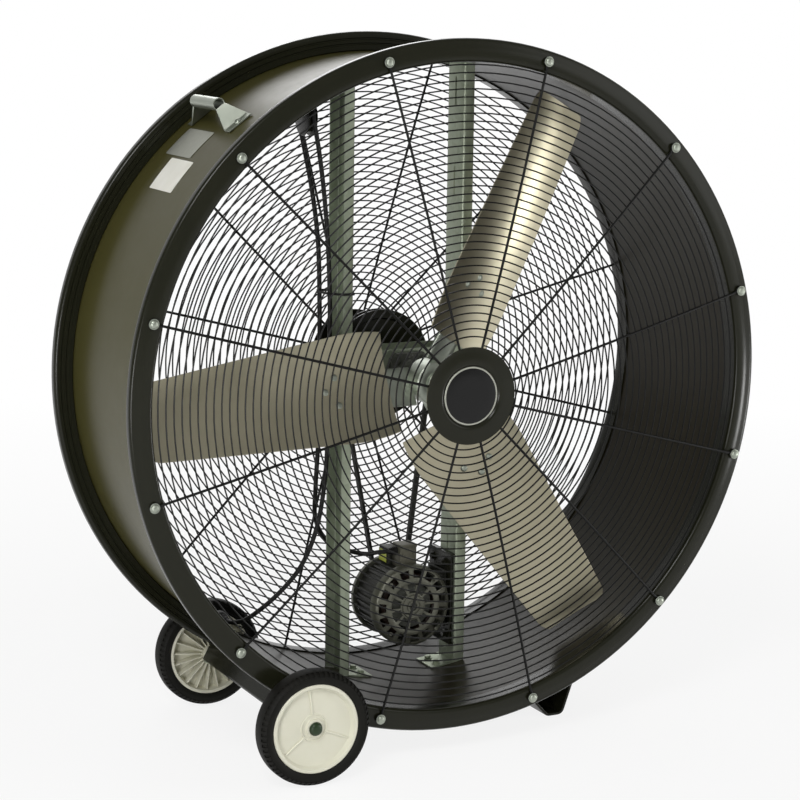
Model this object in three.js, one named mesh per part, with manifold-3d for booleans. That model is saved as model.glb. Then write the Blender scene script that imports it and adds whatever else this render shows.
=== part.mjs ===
// Belt-driven drum fan on two wheels and a foot, in millimetres, +Z up.
// +X is the right of the outlet side, -Y is the outlet (front) side.
// The origin is on the floor, under the middle of the drum.
import * as THREE from 'three';
import { mergeVertices } from 'three/addons/utils/BufferGeometryUtils.js';
import Module from 'manifold-3d';

const wasm = await Module();
wasm.setup();

// ---------------------------------------------------------------- driving dimensions
const GAP = 0.3; // clearance between pieces that touch
const GROUND_CLEARANCE = 50; // floor to the rims

// drum
const RIM_RADIUS = 650; // outermost circle of the rims
const RIM_SPACING = 416; // between the outermost circles of the two rims
const RIM_SHEET = 2.5;
const RIM_FACE_DEPTH = 16; // middle of the rim's face, ahead of its outermost circle
const RIM_HEIGHT = 38; // drum's outside to the outermost circle of the rims
const SHELL_SHEET = 2;
const SHELL_LAP = 6; // how far the drum's edge runs past the outermost circle
const RIM_LIP_DEPTH = 24; // inner edge of the rim, behind its outermost circle
const RIM_CORNER = 6; // between the rim's lip and its face
const RIM_BEAD_FRONT = 3; // the flat of the outermost circle, ahead of its middle and behind it
const RIM_BEAD_REAR = 4;
const RIM_BACK_DEPTH = 9; // where the rim's back meets the drum
const DRUM_SIDES = 36;

// guards
const BOLT_COUNT = 12;
const BOLT_FIRST_ANGLE = 15;
const BOLT_INSET = 21; // outermost circle of the rims to the bolts
const BOLT_RADIUS = 4;
const BOLT_HEAD_RADIUS = 9;
const BOLT_HEAD_HEIGHT = 6;
const BOLT_END = 4; // how far a bolt stands through the rim
const SPOKE_WIRE = 5;
const RING_WIRE = 3.2;
const RING_COUNT = 6;
const RING_FIRST_RADIUS = 84;
const RING_INSET = 25; // bolts to the outermost ring
const RING_SIDES = 24;
const RING_SEAT = 1; // how deep the rings are welded into the spokes
const SPOKE_START = 4; // how far the spokes run inside the first ring
const GUARD_DOME = 26; // how far the middle stands ahead of the bolts
const HUB_PLATE_RADIUS = 93;
const HUB_PLATE_SHEET = 2;
const HUB_DISH_RADIUS = 60;
const HUB_DISH_DEPTH = 2; // the dish's floor behind the brim
const HUB_BEAD_HEIGHT = 2; // the bead round the dish, ahead of the brim
const HUB_BEAD_WIDTH = 6;
const BADGE_RADIUS = 54;
const BADGE_THICKNESS = 1.2;

// fan wheel
const BLADE_COUNT = 3;
const BLADE_FIRST_ANGLE = 60.5;
const BLADE_ROOT_RADIUS = 88;
const BLADE_TIP_CLEARANCE = 22; // blade tips to the drum's inside
const BLADE_SHEET = 2;
const BLADE_CAMBER = 0.07; // depth of the hollow as a share of the chord
const BLADE_FRONT_WIDTH = 105; // pitch line to the front edge, which is straight
const BLADE_REAR_ROOT_WIDTH = 121; // pitch line to the rear edge, which tapers evenly
const BLADE_REAR_TIP_WIDTH = 38;
const BLADE_ROOT_ROUNDING = 14; // how far the edges draw in at the root
const BLADE_ROOT_SHARE = 0.2; // of the length, in which they do
const BLADE_TIP_ROUNDING = 10;
const BLADE_TIP_SHARE = 0.04;
const BLADE_ROOT_PITCH = 28;
const BLADE_TIP_PITCH = 17;
const BLADE_PLANE_Y = -102; // the blades' pitch line
const ARM_WIDTH = 76;
const ARM_THICKNESS = 6;
const ARM_END_RADIUS = 236;
const HUB_RADIUS = 42;
const HUB_LENGTH = 70;
const SHAFT_RADIUS = 15;
const RIVET_RADIUS = 4;
const RIVET_HEAD_RADIUS = 7;
const RIVET_HEAD_HEIGHT = 3;
const RIVET_OUTER_RADIUS = 219; // one rivet
const RIVET_INNER_RADIUS = 196; // a pair of rivets
const RIVET_SPREAD = 27; // the pair's rivets to the pitch line
const SHAFT_END = 12; // how far the shaft stands out of the hub

// posts and bearings
const POST_INSET = 115; // fan axis to the posts' webs
const POST_FLANGE = 22;
const POST_DEPTH = 70;
const POST_FRONT_Y = 9;
const POST_SHEET = 3;
const POST_SLOT_WIDTH = 6;
const POST_SLOT_LENGTH = 58;
const POST_SLOT_PITCH = 172;
const POST_SLOT_INSET = 70; // drum's inside to the middle of the first slots
const POST_TAB_LENGTH = 48;
const BEARING_PLATE_SHEET = 3;
const BEARING_PLATE_HEIGHT = 96;
const BEARING_FLANGE_SIZE = 84;
const BEARING_FLANGE_THICKNESS = 11;
const BEARING_BODY_RADIUS = 31;
const BEARING_BODY_LENGTH = 18;

// belt drive
const BELT_PLANE_Y = 137;
const BELT_WIDTH = 13;
const BELT_THICKNESS = 8;
const DRIVEN_BELT_RADIUS = 108; // outside of the belt on the fan's pulley
const DRIVE_BELT_RADIUS = 35; // outside of the belt on the motor's pulley
const PULLEY_WALL = 4;
const PULLEY_GROOVE_FLOOR = 2.5; // below the belt
const PULLEY_HUB_RADIUS = 30;
const PULLEY_WEB = 8;
const PULLEY_RIM_WALL = 6; // under the groove

// motor
const MOTOR_X = 16;
const MOTOR_CLEARANCE = 142; // motor axis to the drum's inside, below it
const MOTOR_BASE_HEIGHT = 88.9; // motor axis to its mounting face
const MOTOR_RADIUS = 76;
const MOTOR_BELL_RADIUS = 82;
const MOTOR_FRONT_Y = -5;
const MOTOR_BELL_DEPTH = 26;
const MOTOR_BODY_LENGTH = 82;
const MOTOR_REAR_BELL_DEPTH = 16;
const MOTOR_FRAME_WALL = 8;
const ROTOR_RADIUS = 54;
const ROTOR_AIR_GAP = 1;
const BELL_WALL = 5;
const BELL_BOSS_RADIUS = 24;
const BELL_CORNER = 10;
const VENT_COUNT = 5;
const VENT_INNER_RADIUS = 34;
const VENT_OUTER_RADIUS = 60;
const VENT_WIDTH = 14;
const MOTOR_SHAFT_RADIUS = 8;
const MOTOR_FOOT_WIDTH = 120;
const MOTOR_PLATE_SHEET = 5;
const MOTOR_PLATE_HEIGHT = 190;
const TERMINAL_BOX_WIDTH = 36;
const TERMINAL_BOX_HEIGHT = 44;
const TERMINAL_BOX_LENGTH = 36;
const CAPACITOR_WIDTH = 56;
const CAPACITOR_HEIGHT = 30;
const CAPACITOR_LENGTH = 43;
const GLAND_DROP = 14; // top of the wires' housing to the cord

// wheels and axle
const WHEEL_RADIUS = 108.5;
const WHEEL_SIDES = 20;
const TYRE_WIDTH = 45;
const WHEEL_RIM_RADIUS = 84;
const WHEEL_WEB = 5;
const WHEEL_HUB_RADIUS = 17;
const WHEEL_STANDOUT = 75; // outermost circle of the rims to the outside of the tyres
const AXLE_STANDOFF = 20.6; // rims' outermost circle to the axle's centre
const AXLE_RADIUS = 8;
const AXLE_CAP_RADIUS = 13;
const AXLE_CAP_HEIGHT = 10;
const AXLE_PLATE_SHEET = 4;
const AXLE_PLATE_WIDTH = 44;
const AXLE_PLATE_END = 20; // how far the plate runs past the axle
const AXLE_CHANNEL_WIDTH = 38;
const AXLE_CHANNEL_SHEET = 3;
const AXLE_CHANNEL_DEPTH = 37;

// foot
const FOOT_X = 290;
const FOOT_WIDTH = 196;
const FOOT_SHEET = 5;
const FOOT_PAD_LENGTH = 26;
const FOOT_INNER_ANGLE = 5.5; // either side of the pad's direction
const FOOT_OUTER_ANGLE = 15.5;
const FOOT_TAB_ANGLE = 4;

// handle
const HANDLE_ANGLE = 126.8;
const HANDLE_Y = 67;
const HANDLE_LENGTH = 118;
const HANDLE_TUBE_RADIUS = 12;
const HANDLE_TUBE_BORE = 8;
const HANDLE_RISE = 41; // drum's outside to the tube's centre
const HANDLE_SHEET = 3;
const HANDLE_FOOT_WIDTH = 54;
const HANDLE_SPLAY = 26;
const HANDLE_FOOT_LENGTH = 22;
const HANDLE_BOLT_RADIUS = 6.5;
const HANDLE_BOLT_HEIGHT = 5;

// bare plates on the drum's outside
const PLATE_THICKNESS = 0.8;
const RATING_PLATE_ANGLES = [129.9, 136.2];
const RATING_PLATE_FRONT = 26;
const RATING_PLATE_REAR = 150;
const LABEL_ANGLES = [136.8, 143.4];
const LABEL_FRONT = -6;
const LABEL_REAR = 104;

// supply cord
const CORD_RADIUS = 4.5;
const CORD_STEPS = 60;
const GLAND_LENGTH = 22;
const PLUG_RADIUS = 13;
const PLUG_LENGTH = 46;
const CORD_LOOP_RADIUS = 35;
const CORD_LOOP_DROP = 43; // drum's inside to the top of the cord's loop, below it
const HOOK_X = -207;
const HOOK_Y = 31;
const HOOK_RADIUS = 24;
const HOOK_WIDTH = 18;
const HOOK_STRAP_SHEET = 4;
const HOOK_STRAP_WIDTH = 24;

// ---------------------------------------------------------------- derived places
const AXIS_HEIGHT = RIM_RADIUS + GROUND_CLEARANCE;
const SHELL_RADIUS = RIM_RADIUS - RIM_HEIGHT;
const SHELL_INNER_RADIUS = SHELL_RADIUS - SHELL_SHEET;
const BOLT_CIRCLE_RADIUS = RIM_RADIUS - BOLT_INSET;
const RING_LAST_RADIUS = BOLT_CIRCLE_RADIUS - RING_INSET;
const BLADE_TIP_RADIUS = SHELL_INNER_RADIUS - BLADE_TIP_CLEARANCE;
const RIM_Y = RIM_SPACING / 2;
const RIM_FACE_Y = RIM_Y + RIM_FACE_DEPTH + RIM_SHEET / 2;
const EYELET_Y = RIM_FACE_Y + GAP + SPOKE_WIRE / 2;
const POST_REAR_Y = POST_FRONT_Y + POST_DEPTH;
const MOTOR_Z = MOTOR_CLEARANCE - SHELL_INNER_RADIUS;
const MOTOR_BASE_X = MOTOR_X + MOTOR_BASE_HEIGHT;
const MOTOR_BODY_Y = MOTOR_FRONT_Y + MOTOR_BELL_DEPTH;
const MOTOR_REAR_Y = MOTOR_BODY_Y + MOTOR_BODY_LENGTH;
const AXLE_Z = WHEEL_RADIUS - AXIS_HEIGHT;
const AXLE_DISTANCE = RIM_RADIUS + AXLE_STANDOFF;
const AXLE_X = -Math.sqrt(AXLE_DISTANCE ** 2 - AXLE_Z ** 2);
const AXLE_ANGLE = THREE.MathUtils.radToDeg(Math.atan2(AXLE_Z, AXLE_X));
const WHEEL_OUTER_Y = RIM_Y + WHEEL_STANDOUT;
const WHEEL_INNER_Y = WHEEL_OUTER_Y - TYRE_WIDTH;
const AXLE_PLATE_Y = RIM_FACE_Y + GAP + AXLE_PLATE_SHEET;
const spread = (count, first) => Array.from({ length: count }, (_, i) => first + (360 / count) * i);
const BLADE_ANGLES = spread(BLADE_COUNT, BLADE_FIRST_ANGLE);

// ---------------------------------------------------------------- solids
const sin = (degrees) => Math.sin(THREE.MathUtils.degToRad(degrees));
const cos = (degrees) => Math.cos(THREE.MathUtils.degToRad(degrees));

// a point at a radius and an angle from +X, seen from the front
function polar(radius, degrees, y = 0) {
  return new THREE.Vector3(radius * cos(degrees), y, radius * sin(degrees));
}

// the geometry with shared vertices, facing outwards
function closed(source) {
  let geometry = source.index ? source.clone() : source;
  geometry.deleteAttribute('normal');
  geometry.deleteAttribute('uv');
  geometry = mergeVertices(geometry, 1e-4);
  const p = geometry.attributes.position;
  const index = Array.from(geometry.index.array);
  const kept = [];
  let volume = 0;
  const corners = [new THREE.Vector3(), new THREE.Vector3(), new THREE.Vector3()];
  for (let i = 0; i < index.length; i += 3) {
    const [a, b, c] = [index[i], index[i + 1], index[i + 2]];
    if (a === b || b === c || c === a) continue;
    corners[0].fromBufferAttribute(p, a);
    corners[1].fromBufferAttribute(p, b);
    corners[2].fromBufferAttribute(p, c);
    volume += corners[0].dot(corners[1].clone().cross(corners[2]));
    kept.push(a, b, c);
  }
  if (volume < 0) {
    for (let i = 0; i < kept.length; i += 3) {
      [kept[i + 1], kept[i + 2]] = [kept[i + 2], kept[i + 1]];
    }
  }
  geometry.setIndex(kept);
  return geometry;
}

function solid(source) {
  const geometry = closed(source);
  const vertProperties = new Float32Array(geometry.attributes.position.array);
  const triVerts = new Uint32Array(geometry.index.array);
  return new wasm.Manifold(new wasm.Mesh({ numProp: 3, vertProperties, triVerts }));
}

function geometryOf(manifold) {
  const mesh = manifold.getMesh();
  const geometry = new THREE.BufferGeometry();
  geometry.setAttribute('position', new THREE.Float32BufferAttribute(mesh.vertProperties, 3));
  geometry.setIndex(Array.from(mesh.triVerts));
  return geometry;
}

function join(...sources) {
  return geometryOf(sources.map(solid).reduce((whole, next) => whole.add(next)));
}

function cut(source, ...tools) {
  return geometryOf(tools.map(solid).reduce((whole, tool) => whole.subtract(tool), solid(source)));
}

function common(first, second) {
  return geometryOf(solid(first).intersect(solid(second)));
}

function box(x, y, z) {
  const geometry = new THREE.BoxGeometry(x[1] - x[0], y[1] - y[0], z[1] - z[0]);
  return geometry.translate((x[0] + x[1]) / 2, (y[0] + y[1]) / 2, (z[0] + z[1]) / 2);
}

// a cylinder between two points
function pin(from, to, radius, sides = 8) {
  const length = from.distanceTo(to);
  const geometry = new THREE.CylinderGeometry(radius, radius, length, sides);
  const direction = to.clone().sub(from).normalize();
  geometry.applyQuaternion(new THREE.Quaternion().setFromUnitVectors(new THREE.Vector3(0, 1, 0), direction));
  const middle = from.clone().add(to).multiplyScalar(0.5);
  return geometry.translate(middle.x, middle.y, middle.z);
}

// a cylinder along Y
function rod(radius, y0, y1, sides = 24, x = 0, z = 0) {
  return pin(new THREE.Vector3(x, y0, z), new THREE.Vector3(x, y1, z), radius, sides);
}

// a section of [radius, y] points, turned about the Y axis
function turned(section, sides) {
  const points = section.map(([radius, y]) => new THREE.Vector2(radius, y));
  const onAxis = points[0].x === 0 && points[points.length - 1].x === 0;
  if (!onAxis) points.push(points[0].clone());
  return new THREE.LatheGeometry(points, sides);
}

function tube(outer, inner, y0, y1, sides) {
  return turned([[inner, y0], [outer, y0], [outer, y1], [inner, y1]], sides);
}

// an outline of [x, z] points, extruded from y0 to y1
function slab(outline, y0, y1, holes = []) {
  const toPath = (points) => points.map(([x, z]) => new THREE.Vector2(x, z));
  const shape = new THREE.Shape(toPath(outline));
  shape.holes = holes.map((hole) => new THREE.Path(toPath(hole)));
  const geometry = new THREE.ExtrudeGeometry(shape, { depth: y1 - y0, bevelEnabled: false });
  return geometry.rotateX(Math.PI / 2).translate(0, y1, 0);
}

// the closed outline of a bent sheet whose middle follows the given points
function sheetOutline(points, thickness) {
  const middle = points.map(([x, y]) => new THREE.Vector2(x, y));
  const normal = (a, b) => new THREE.Vector2(a.y - b.y, b.x - a.x).normalize();
  const offsets = middle.map((point, i) => {
    const before = normal(middle[Math.max(i - 1, 0)], middle[Math.max(i, 1)]);
    const after = normal(middle[Math.min(i, middle.length - 2)], middle[Math.min(i + 1, middle.length - 1)]);
    const mitre = before.clone().add(after).normalize();
    return mitre.multiplyScalar(thickness / 2 / mitre.dot(before));
  });
  const left = middle.map((point, i) => point.clone().add(offsets[i]));
  const right = middle.map((point, i) => point.clone().sub(offsets[i])).reverse();
  return [...left, ...right].map((point) => [point.x, point.y]);
}

// each vertex of a geometry moved to where the rule puts it
function moved(geometry, rule) {
  const p = geometry.attributes.position;
  for (let i = 0; i < p.count; i += 1) {
    const to = rule(p.getX(i), p.getY(i), p.getZ(i));
    p.setXYZ(i, to.x, to.y, to.z);
  }
  return geometry;
}

// the same geometry seen in a mirror at y = 0
function mirrored(geometry) {
  return moved(geometry.clone(), (x, y, z) => new THREE.Vector3(x, -y, z));
}

// ---------------------------------------------------------------- materials
function finish(color, roughness, metalness) {
  return new THREE.MeshStandardMaterial({ color, roughness, metalness });
}
const drumPaint = finish(0x5c5941, 0.35, 0.2);
const rimPaint = finish(0x24251c, 0.35, 0.2);
const wirePaint = finish(0x14140f, 0.45, 0.2);
const zinc = finish(0x96a08c, 0.4, 0.8);
const brightZinc = finish(0xb5beb0, 0.35, 0.85);
const bladeMetal = finish(0x8f8a70, 0.35, 0.85);
const castMetal = finish(0x4a4b44, 0.55, 0.5);
const motorPaint = finish(0x3b3b36, 0.5, 0.3);
const steel = finish(0x8b8d88, 0.3, 0.95);
const rubber = finish(0x23241f, 0.8, 0);
const wheelPlastic = finish(0xe2e0cf, 0.5, 0);
const capPaint = finish(0x1e2a18, 0.3, 0.3);
const badgeFoil = finish(0x0c0c0c, 0.25, 0.2);
const ratingFoil = finish(0xa5a998, 0.35, 0.6);
const labelPaper = finish(0xecece0, 0.6, 0);
const cordRubber = finish(0x101010, 0.6, 0);

const group = new THREE.Group();
const drum = new THREE.Group();
drum.position.z = AXIS_HEIGHT;
group.add(drum);

function add(name, geometry, material, parent = drum) {
  const mesh = new THREE.Mesh(closed(geometry), material);
  mesh.name = name;
  parent.add(mesh);
  return mesh;
}

// ---------------------------------------------------------------- drum
const boltAngles = spread(BOLT_COUNT, BOLT_FIRST_ANGLE);

const shellEndY = RIM_Y + SHELL_LAP;
add('drum_shell', tube(SHELL_RADIUS, SHELL_INNER_RADIUS, -shellEndY, shellEndY, DRUM_SIDES), drumPaint);

// a rolled rim: a lip inside the drum, a flat face for the bolts, a round bead and a back wall
function frontRim() {
  const lip = SHELL_INNER_RADIUS - GAP - RIM_SHEET / 2;
  const bead = RIM_RADIUS - RIM_SHEET / 2;
  const middle = [
    [lip, -RIM_Y + RIM_LIP_DEPTH],
    [lip, -RIM_Y - RIM_FACE_DEPTH + RIM_CORNER],
    [lip + RIM_CORNER, -RIM_Y - RIM_FACE_DEPTH],
    [BOLT_CIRCLE_RADIUS + BOLT_HEAD_RADIUS, -RIM_Y - RIM_FACE_DEPTH],
    [bead, -RIM_Y - RIM_BEAD_FRONT],
    [bead, -RIM_Y + RIM_BEAD_REAR],
    [SHELL_RADIUS + GAP, -RIM_Y + RIM_BACK_DEPTH],
  ];
  const holes = boltAngles.map((angle) => {
    const centre = polar(BOLT_CIRCLE_RADIUS, angle);
    const through = [-RIM_FACE_Y - 1, -RIM_FACE_Y + 2 * RIM_SHEET];
    return rod(BOLT_RADIUS + GAP, ...through, 6, centre.x, centre.z);
  });
  return cut(turned(sheetOutline(middle, RIM_SHEET), DRUM_SIDES), ...holes);
}
const rim = frontRim();
add('front_rim', rim, rimPaint);
add('rear_rim', mirrored(rim), rimPaint);

// ---------------------------------------------------------------- guards
// how far from the middle of the drum the guard's spokes lie at a radius
function domeY(radius) {
  const share = Math.min(radius / (BOLT_CIRCLE_RADIUS - BOLT_HEAD_RADIUS - 1), 1);
  return EYELET_Y + GUARD_DOME * (1 - share * share);
}

function spoke(angle) {
  const start = RING_FIRST_RADIUS - SPOKE_START;
  const end = BOLT_CIRCLE_RADIUS - BOLT_RADIUS - GAP - 1;
  const bar = new THREE.BoxGeometry(end - start, SPOKE_WIRE, SPOKE_WIRE, 3, 1, 1);
  return moved(bar, (x, y, z) => {
    const radius = x + (end + start) / 2;
    const at = polar(radius, angle, -domeY(radius) + y);
    const side = polar(z, angle + 90);
    return at.add(side);
  });
}

function guardRing(radius) {
  const torus = new THREE.TorusGeometry(radius, RING_WIRE / 2, 3, RING_SIDES);
  torus.rotateZ(Math.PI / RING_SIDES).rotateX(Math.PI / 2);
  return torus.translate(0, -domeY(radius) + SPOKE_WIRE / 2 + RING_WIRE / 2 - RING_SEAT, 0);
}

function eyelet(angle) {
  const centre = polar(BOLT_CIRCLE_RADIUS, angle);
  const half = SPOKE_WIRE / 2;
  const disc = rod(BOLT_HEAD_RADIUS, -EYELET_Y - half, -EYELET_Y + half, 6, centre.x, centre.z);
  const hole = rod(BOLT_RADIUS + GAP, -EYELET_Y - SPOKE_WIRE, -EYELET_Y + SPOKE_WIRE, 6, centre.x, centre.z);
  return cut(disc, hole);
}

function frontGuard() {
  const step = (RING_LAST_RADIUS - RING_FIRST_RADIUS) / (RING_COUNT - 1);
  const rings = Array.from({ length: RING_COUNT }, (_, i) => guardRing(RING_FIRST_RADIUS + step * i));
  return join(...rings, ...boltAngles.map(spoke), ...boltAngles.map(eyelet));
}
const guard = frontGuard();
add('front_guard', guard, wirePaint);
add('rear_guard', mirrored(guard), wirePaint);

// a dished plate over the middle of the guard, and a bare round badge in its dish
const brimY = -domeY(RING_FIRST_RADIUS - SPOKE_START) - SPOKE_WIRE / 2 - GAP - HUB_PLATE_SHEET / 2;
const dishOutline = sheetOutline(
  [
    [0, brimY + HUB_DISH_DEPTH],
    [HUB_DISH_RADIUS, brimY + HUB_DISH_DEPTH],
    [HUB_DISH_RADIUS + HUB_BEAD_WIDTH, brimY - HUB_BEAD_HEIGHT],
    [HUB_DISH_RADIUS + 2 * HUB_BEAD_WIDTH, brimY],
    [HUB_PLATE_RADIUS, brimY],
  ],
  HUB_PLATE_SHEET,
);
const hubPlate = turned(dishOutline, 18);
add('front_hub_plate', hubPlate, rimPaint);
add('rear_hub_plate', mirrored(hubPlate), rimPaint);
const badgeY = brimY + HUB_DISH_DEPTH - HUB_PLATE_SHEET / 2 - GAP;
add('hub_badge', rod(BADGE_RADIUS, badgeY - BADGE_THICKNESS, badgeY, 24), badgeFoil);

// a domed bolt for each eyelet of the front guard
const headBack = EYELET_Y + SPOKE_WIRE / 2 + GAP;
const boltSection = [
  [0, -headBack - BOLT_HEAD_HEIGHT],
  [BOLT_HEAD_RADIUS * 0.6, -headBack - BOLT_HEAD_HEIGHT * 0.8],
  [BOLT_HEAD_RADIUS, -headBack],
  [BOLT_RADIUS, -headBack],
  [BOLT_RADIUS, -RIM_FACE_Y + RIM_SHEET + BOLT_END],
  [0, -RIM_FACE_Y + RIM_SHEET + BOLT_END],
];
boltAngles.forEach((angle, i) => {
  const centre = polar(BOLT_CIRCLE_RADIUS, angle);
  const bolt = add(`guard_bolt_${String(i + 1).padStart(2, '0')}`, turned(boltSection, 6), brightZinc);
  bolt.position.set(centre.x, 0, centre.z);
});

// ---------------------------------------------------------------- posts
// a channel with its web towards the fan's axis, ending on the inside of the drum
function rightPost() {
  const web = POST_INSET + POST_SHEET / 2;
  const tip = POST_INSET + POST_FLANGE;
  const reach = SHELL_RADIUS;
  const outline = sheetOutline(
    [
      [tip, POST_FRONT_Y + POST_SHEET / 2],
      [web, POST_FRONT_Y + POST_SHEET / 2],
      [web, POST_REAR_Y - POST_SHEET / 2],
      [tip, POST_REAR_Y - POST_SHEET / 2],
    ],
    POST_SHEET,
  );
  const shape = new THREE.Shape(outline.map(([x, y]) => new THREE.Vector2(x, y)));
  const channel = new THREE.ExtrudeGeometry(shape, { depth: 2 * reach, bevelEnabled: false });
  channel.translate(0, 0, -reach);
  const middleY = (POST_FRONT_Y + POST_REAR_Y) / 2;
  const slotWide = [middleY - POST_SLOT_WIDTH / 2, middleY + POST_SLOT_WIDTH / 2];
  const slots = [1, -1].flatMap((side) => [0, 1].map((row) => {
    const centre = side * (SHELL_INNER_RADIUS - POST_SLOT_INSET - POST_SLOT_PITCH * row);
    const tall = [centre - POST_SLOT_LENGTH / 2, centre + POST_SLOT_LENGTH / 2];
    return box([POST_INSET - 1, POST_INSET + POST_SHEET + 1], slotWide, tall);
  }));
  const wall = SHELL_INNER_RADIUS - GAP;
  const inDrum = rod(wall, POST_FRONT_Y - 1, POST_REAR_Y + 1, DRUM_SIDES);
  const fitted = common(cut(channel, ...slots), inDrum);
  const tabWall = tube(wall, wall - POST_SHEET, POST_FRONT_Y, POST_REAR_Y, DRUM_SIDES);
  const tabs = [1, -1].map((side) => {
    const x = [POST_INSET - POST_TAB_LENGTH, POST_INSET + POST_SHEET / 2];
    const z = side > 0 ? [0, reach] : [-reach, 0];
    return common(tabWall, box(x, [POST_FRONT_Y, POST_REAR_Y], z));
  });
  return join(fitted, ...tabs);
}
const post = rightPost();
add('right_post', post, zinc);
add('left_post', moved(post.clone(), (x, y, z) => new THREE.Vector3(-x, y, z)), zinc);

// ---------------------------------------------------------------- bearings
function bearingPlate(y0, y1) {
  const half = POST_INSET + POST_FLANGE;
  const plate = box([-half, half], [y0, y1], [-BEARING_PLATE_HEIGHT / 2, BEARING_PLATE_HEIGHT / 2]);
  return cut(plate, rod(SHAFT_RADIUS + 4, y0 - 1, y1 + 1, 16));
}

// a square flange with a round housing on the side away from the plate
function bearing(plateY, side) {
  const flangeEnd = plateY + side * BEARING_FLANGE_THICKNESS;
  const bodyEnd = flangeEnd + side * BEARING_BODY_LENGTH;
  const half = BEARING_FLANGE_SIZE / 2;
  const chamfer = BEARING_FLANGE_SIZE / 5;
  const outline = [
    [-half + chamfer, -half], [half - chamfer, -half], [half, -half + chamfer], [half, half - chamfer],
    [half - chamfer, half], [-half + chamfer, half], [-half, half - chamfer], [-half, -half + chamfer],
  ];
  const flange = slab(outline, Math.min(plateY, flangeEnd), Math.max(plateY, flangeEnd));
  const overlap = flangeEnd - side;
  const body = rod(BEARING_BODY_RADIUS, Math.min(overlap, bodyEnd), Math.max(overlap, bodyEnd), 24);
  const ends = [plateY - side, bodyEnd + side].sort((a, b) => a - b);
  return cut(join(flange, body), rod(SHAFT_RADIUS + GAP, ends[0], ends[1], 24));
}
const frontPlateY = POST_FRONT_Y - GAP - BEARING_PLATE_SHEET;
const rearPlateY = POST_REAR_Y + GAP + BEARING_PLATE_SHEET;
add('front_bearing_plate', bearingPlate(frontPlateY, POST_FRONT_Y - GAP), zinc);
add('rear_bearing_plate', bearingPlate(POST_REAR_Y + GAP, rearPlateY), zinc);
add('front_bearing', bearing(frontPlateY - GAP, -1), castMetal);
add('rear_bearing', bearing(rearPlateY + GAP, 1), castMetal);

// ---------------------------------------------------------------- fan wheel
// how far a blade's front and rear edges lie from its pitch line, at a share of its length
function bladeWidths(share) {
  const atRoot = Math.max(1 - share / BLADE_ROOT_SHARE, 0);
  const atTip = Math.max((share - 1) / BLADE_TIP_SHARE + 1, 0);
  const drawnIn = BLADE_ROOT_ROUNDING * atRoot * atRoot + BLADE_TIP_ROUNDING * atTip * atTip;
  const rear = BLADE_REAR_ROOT_WIDTH + (BLADE_REAR_TIP_WIDTH - BLADE_REAR_ROOT_WIDTH) * share;
  return [BLADE_FRONT_WIDTH - drawnIn, rear - drawnIn];
}

// a point on a blade that lies along +X: its radius, how far it is from the pitch line towards
// the rear edge, and its height over the blade's front face
function onBlade(radius, chordwise, height) {
  const share = Math.max((radius - BLADE_ROOT_RADIUS) / (BLADE_TIP_RADIUS - BLADE_ROOT_RADIUS), 0);
  const pitch = BLADE_ROOT_PITCH + (BLADE_TIP_PITCH - BLADE_ROOT_PITCH) * share;
  const [front, rear] = bladeWidths(share);
  const hollow = (4 * BLADE_CAMBER * (front + chordwise) * (rear - chordwise)) / (front + rear);
  const rise = height - hollow;
  const y = BLADE_PLANE_Y + chordwise * sin(pitch) - rise * cos(pitch);
  return new THREE.Vector3(radius, y, -chordwise * cos(pitch) - rise * sin(pitch));
}

// the sheet between two heights over the front face; the tip follows a circle round the axis
function bladeBetween(low, high) {
  const stations = [0, 0.07, 0.2, 0.4, 0.6, 0.8, 0.96, 1];
  const sheet = new THREE.BoxGeometry(1, 1, 1, stations.length - 1, 4, 1);
  return moved(sheet, (x, y, z) => {
    const share = stations[Math.round((x + 0.5) * (stations.length - 1))];
    const [front, rear] = bladeWidths(share);
    const chordwise = (y + 0.5) * rear + (y - 0.5) * front;
    const tip = Math.sqrt(BLADE_TIP_RADIUS ** 2 - (chordwise * cos(BLADE_TIP_PITCH)) ** 2);
    return onBlade(BLADE_ROOT_RADIUS + (tip - BLADE_ROOT_RADIUS) * share, chordwise, z > 0 ? high : low);
  });
}

const rivetPlaces = [
  [RIVET_OUTER_RADIUS, 0],
  [RIVET_INNER_RADIUS, -RIVET_SPREAD],
  [RIVET_INNER_RADIUS, RIVET_SPREAD],
];

function bladeRivet([radius, chordwise], margin, top, bottom) {
  return pin(onBlade(radius, chordwise, bottom), onBlade(radius, chordwise, top), margin, 6);
}

function bladeSheet() {
  const through = [2 * BLADE_SHEET, -BLADE_SHEET];
  const holes = rivetPlaces.map((place) => bladeRivet(place, RIVET_RADIUS + GAP, ...through));
  return cut(bladeBetween(0, BLADE_SHEET), ...holes);
}

function spiderArm() {
  const start = HUB_RADIUS - 8;
  const bar = new THREE.BoxGeometry(ARM_END_RADIUS - start, ARM_WIDTH, 1, 4, 2, 1);
  const middle = (ARM_END_RADIUS + start) / 2;
  const back = -GAP - ARM_THICKNESS;
  const arm = moved(bar, (x, y, z) => onBlade(x + middle, y, z > 0 ? BLADE_SHEET : back));
  const bladeSpace = bladeBetween(-GAP, HUB_RADIUS);
  const rootSpace = bladeBetween(-GAP, HUB_RADIUS).translate(-GAP, 0, 0);
  const trimmed = cut(arm, bladeSpace, rootSpace);
  const top = BLADE_SHEET + RIVET_HEAD_HEIGHT;
  const heads = rivetPlaces.map((place) => bladeRivet(place, RIVET_HEAD_RADIUS, top, 0));
  const seated = cut(join(...heads), bladeBetween(-GAP, BLADE_SHEET + GAP));
  const shanks = rivetPlaces.map((place) => bladeRivet(place, RIVET_RADIUS, top, -GAP - 2));
  return join(trimmed, seated, ...shanks);
}

function turnedTo(geometry, degrees) {
  return geometry.clone().rotateY(-THREE.MathUtils.degToRad(degrees));
}

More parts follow.
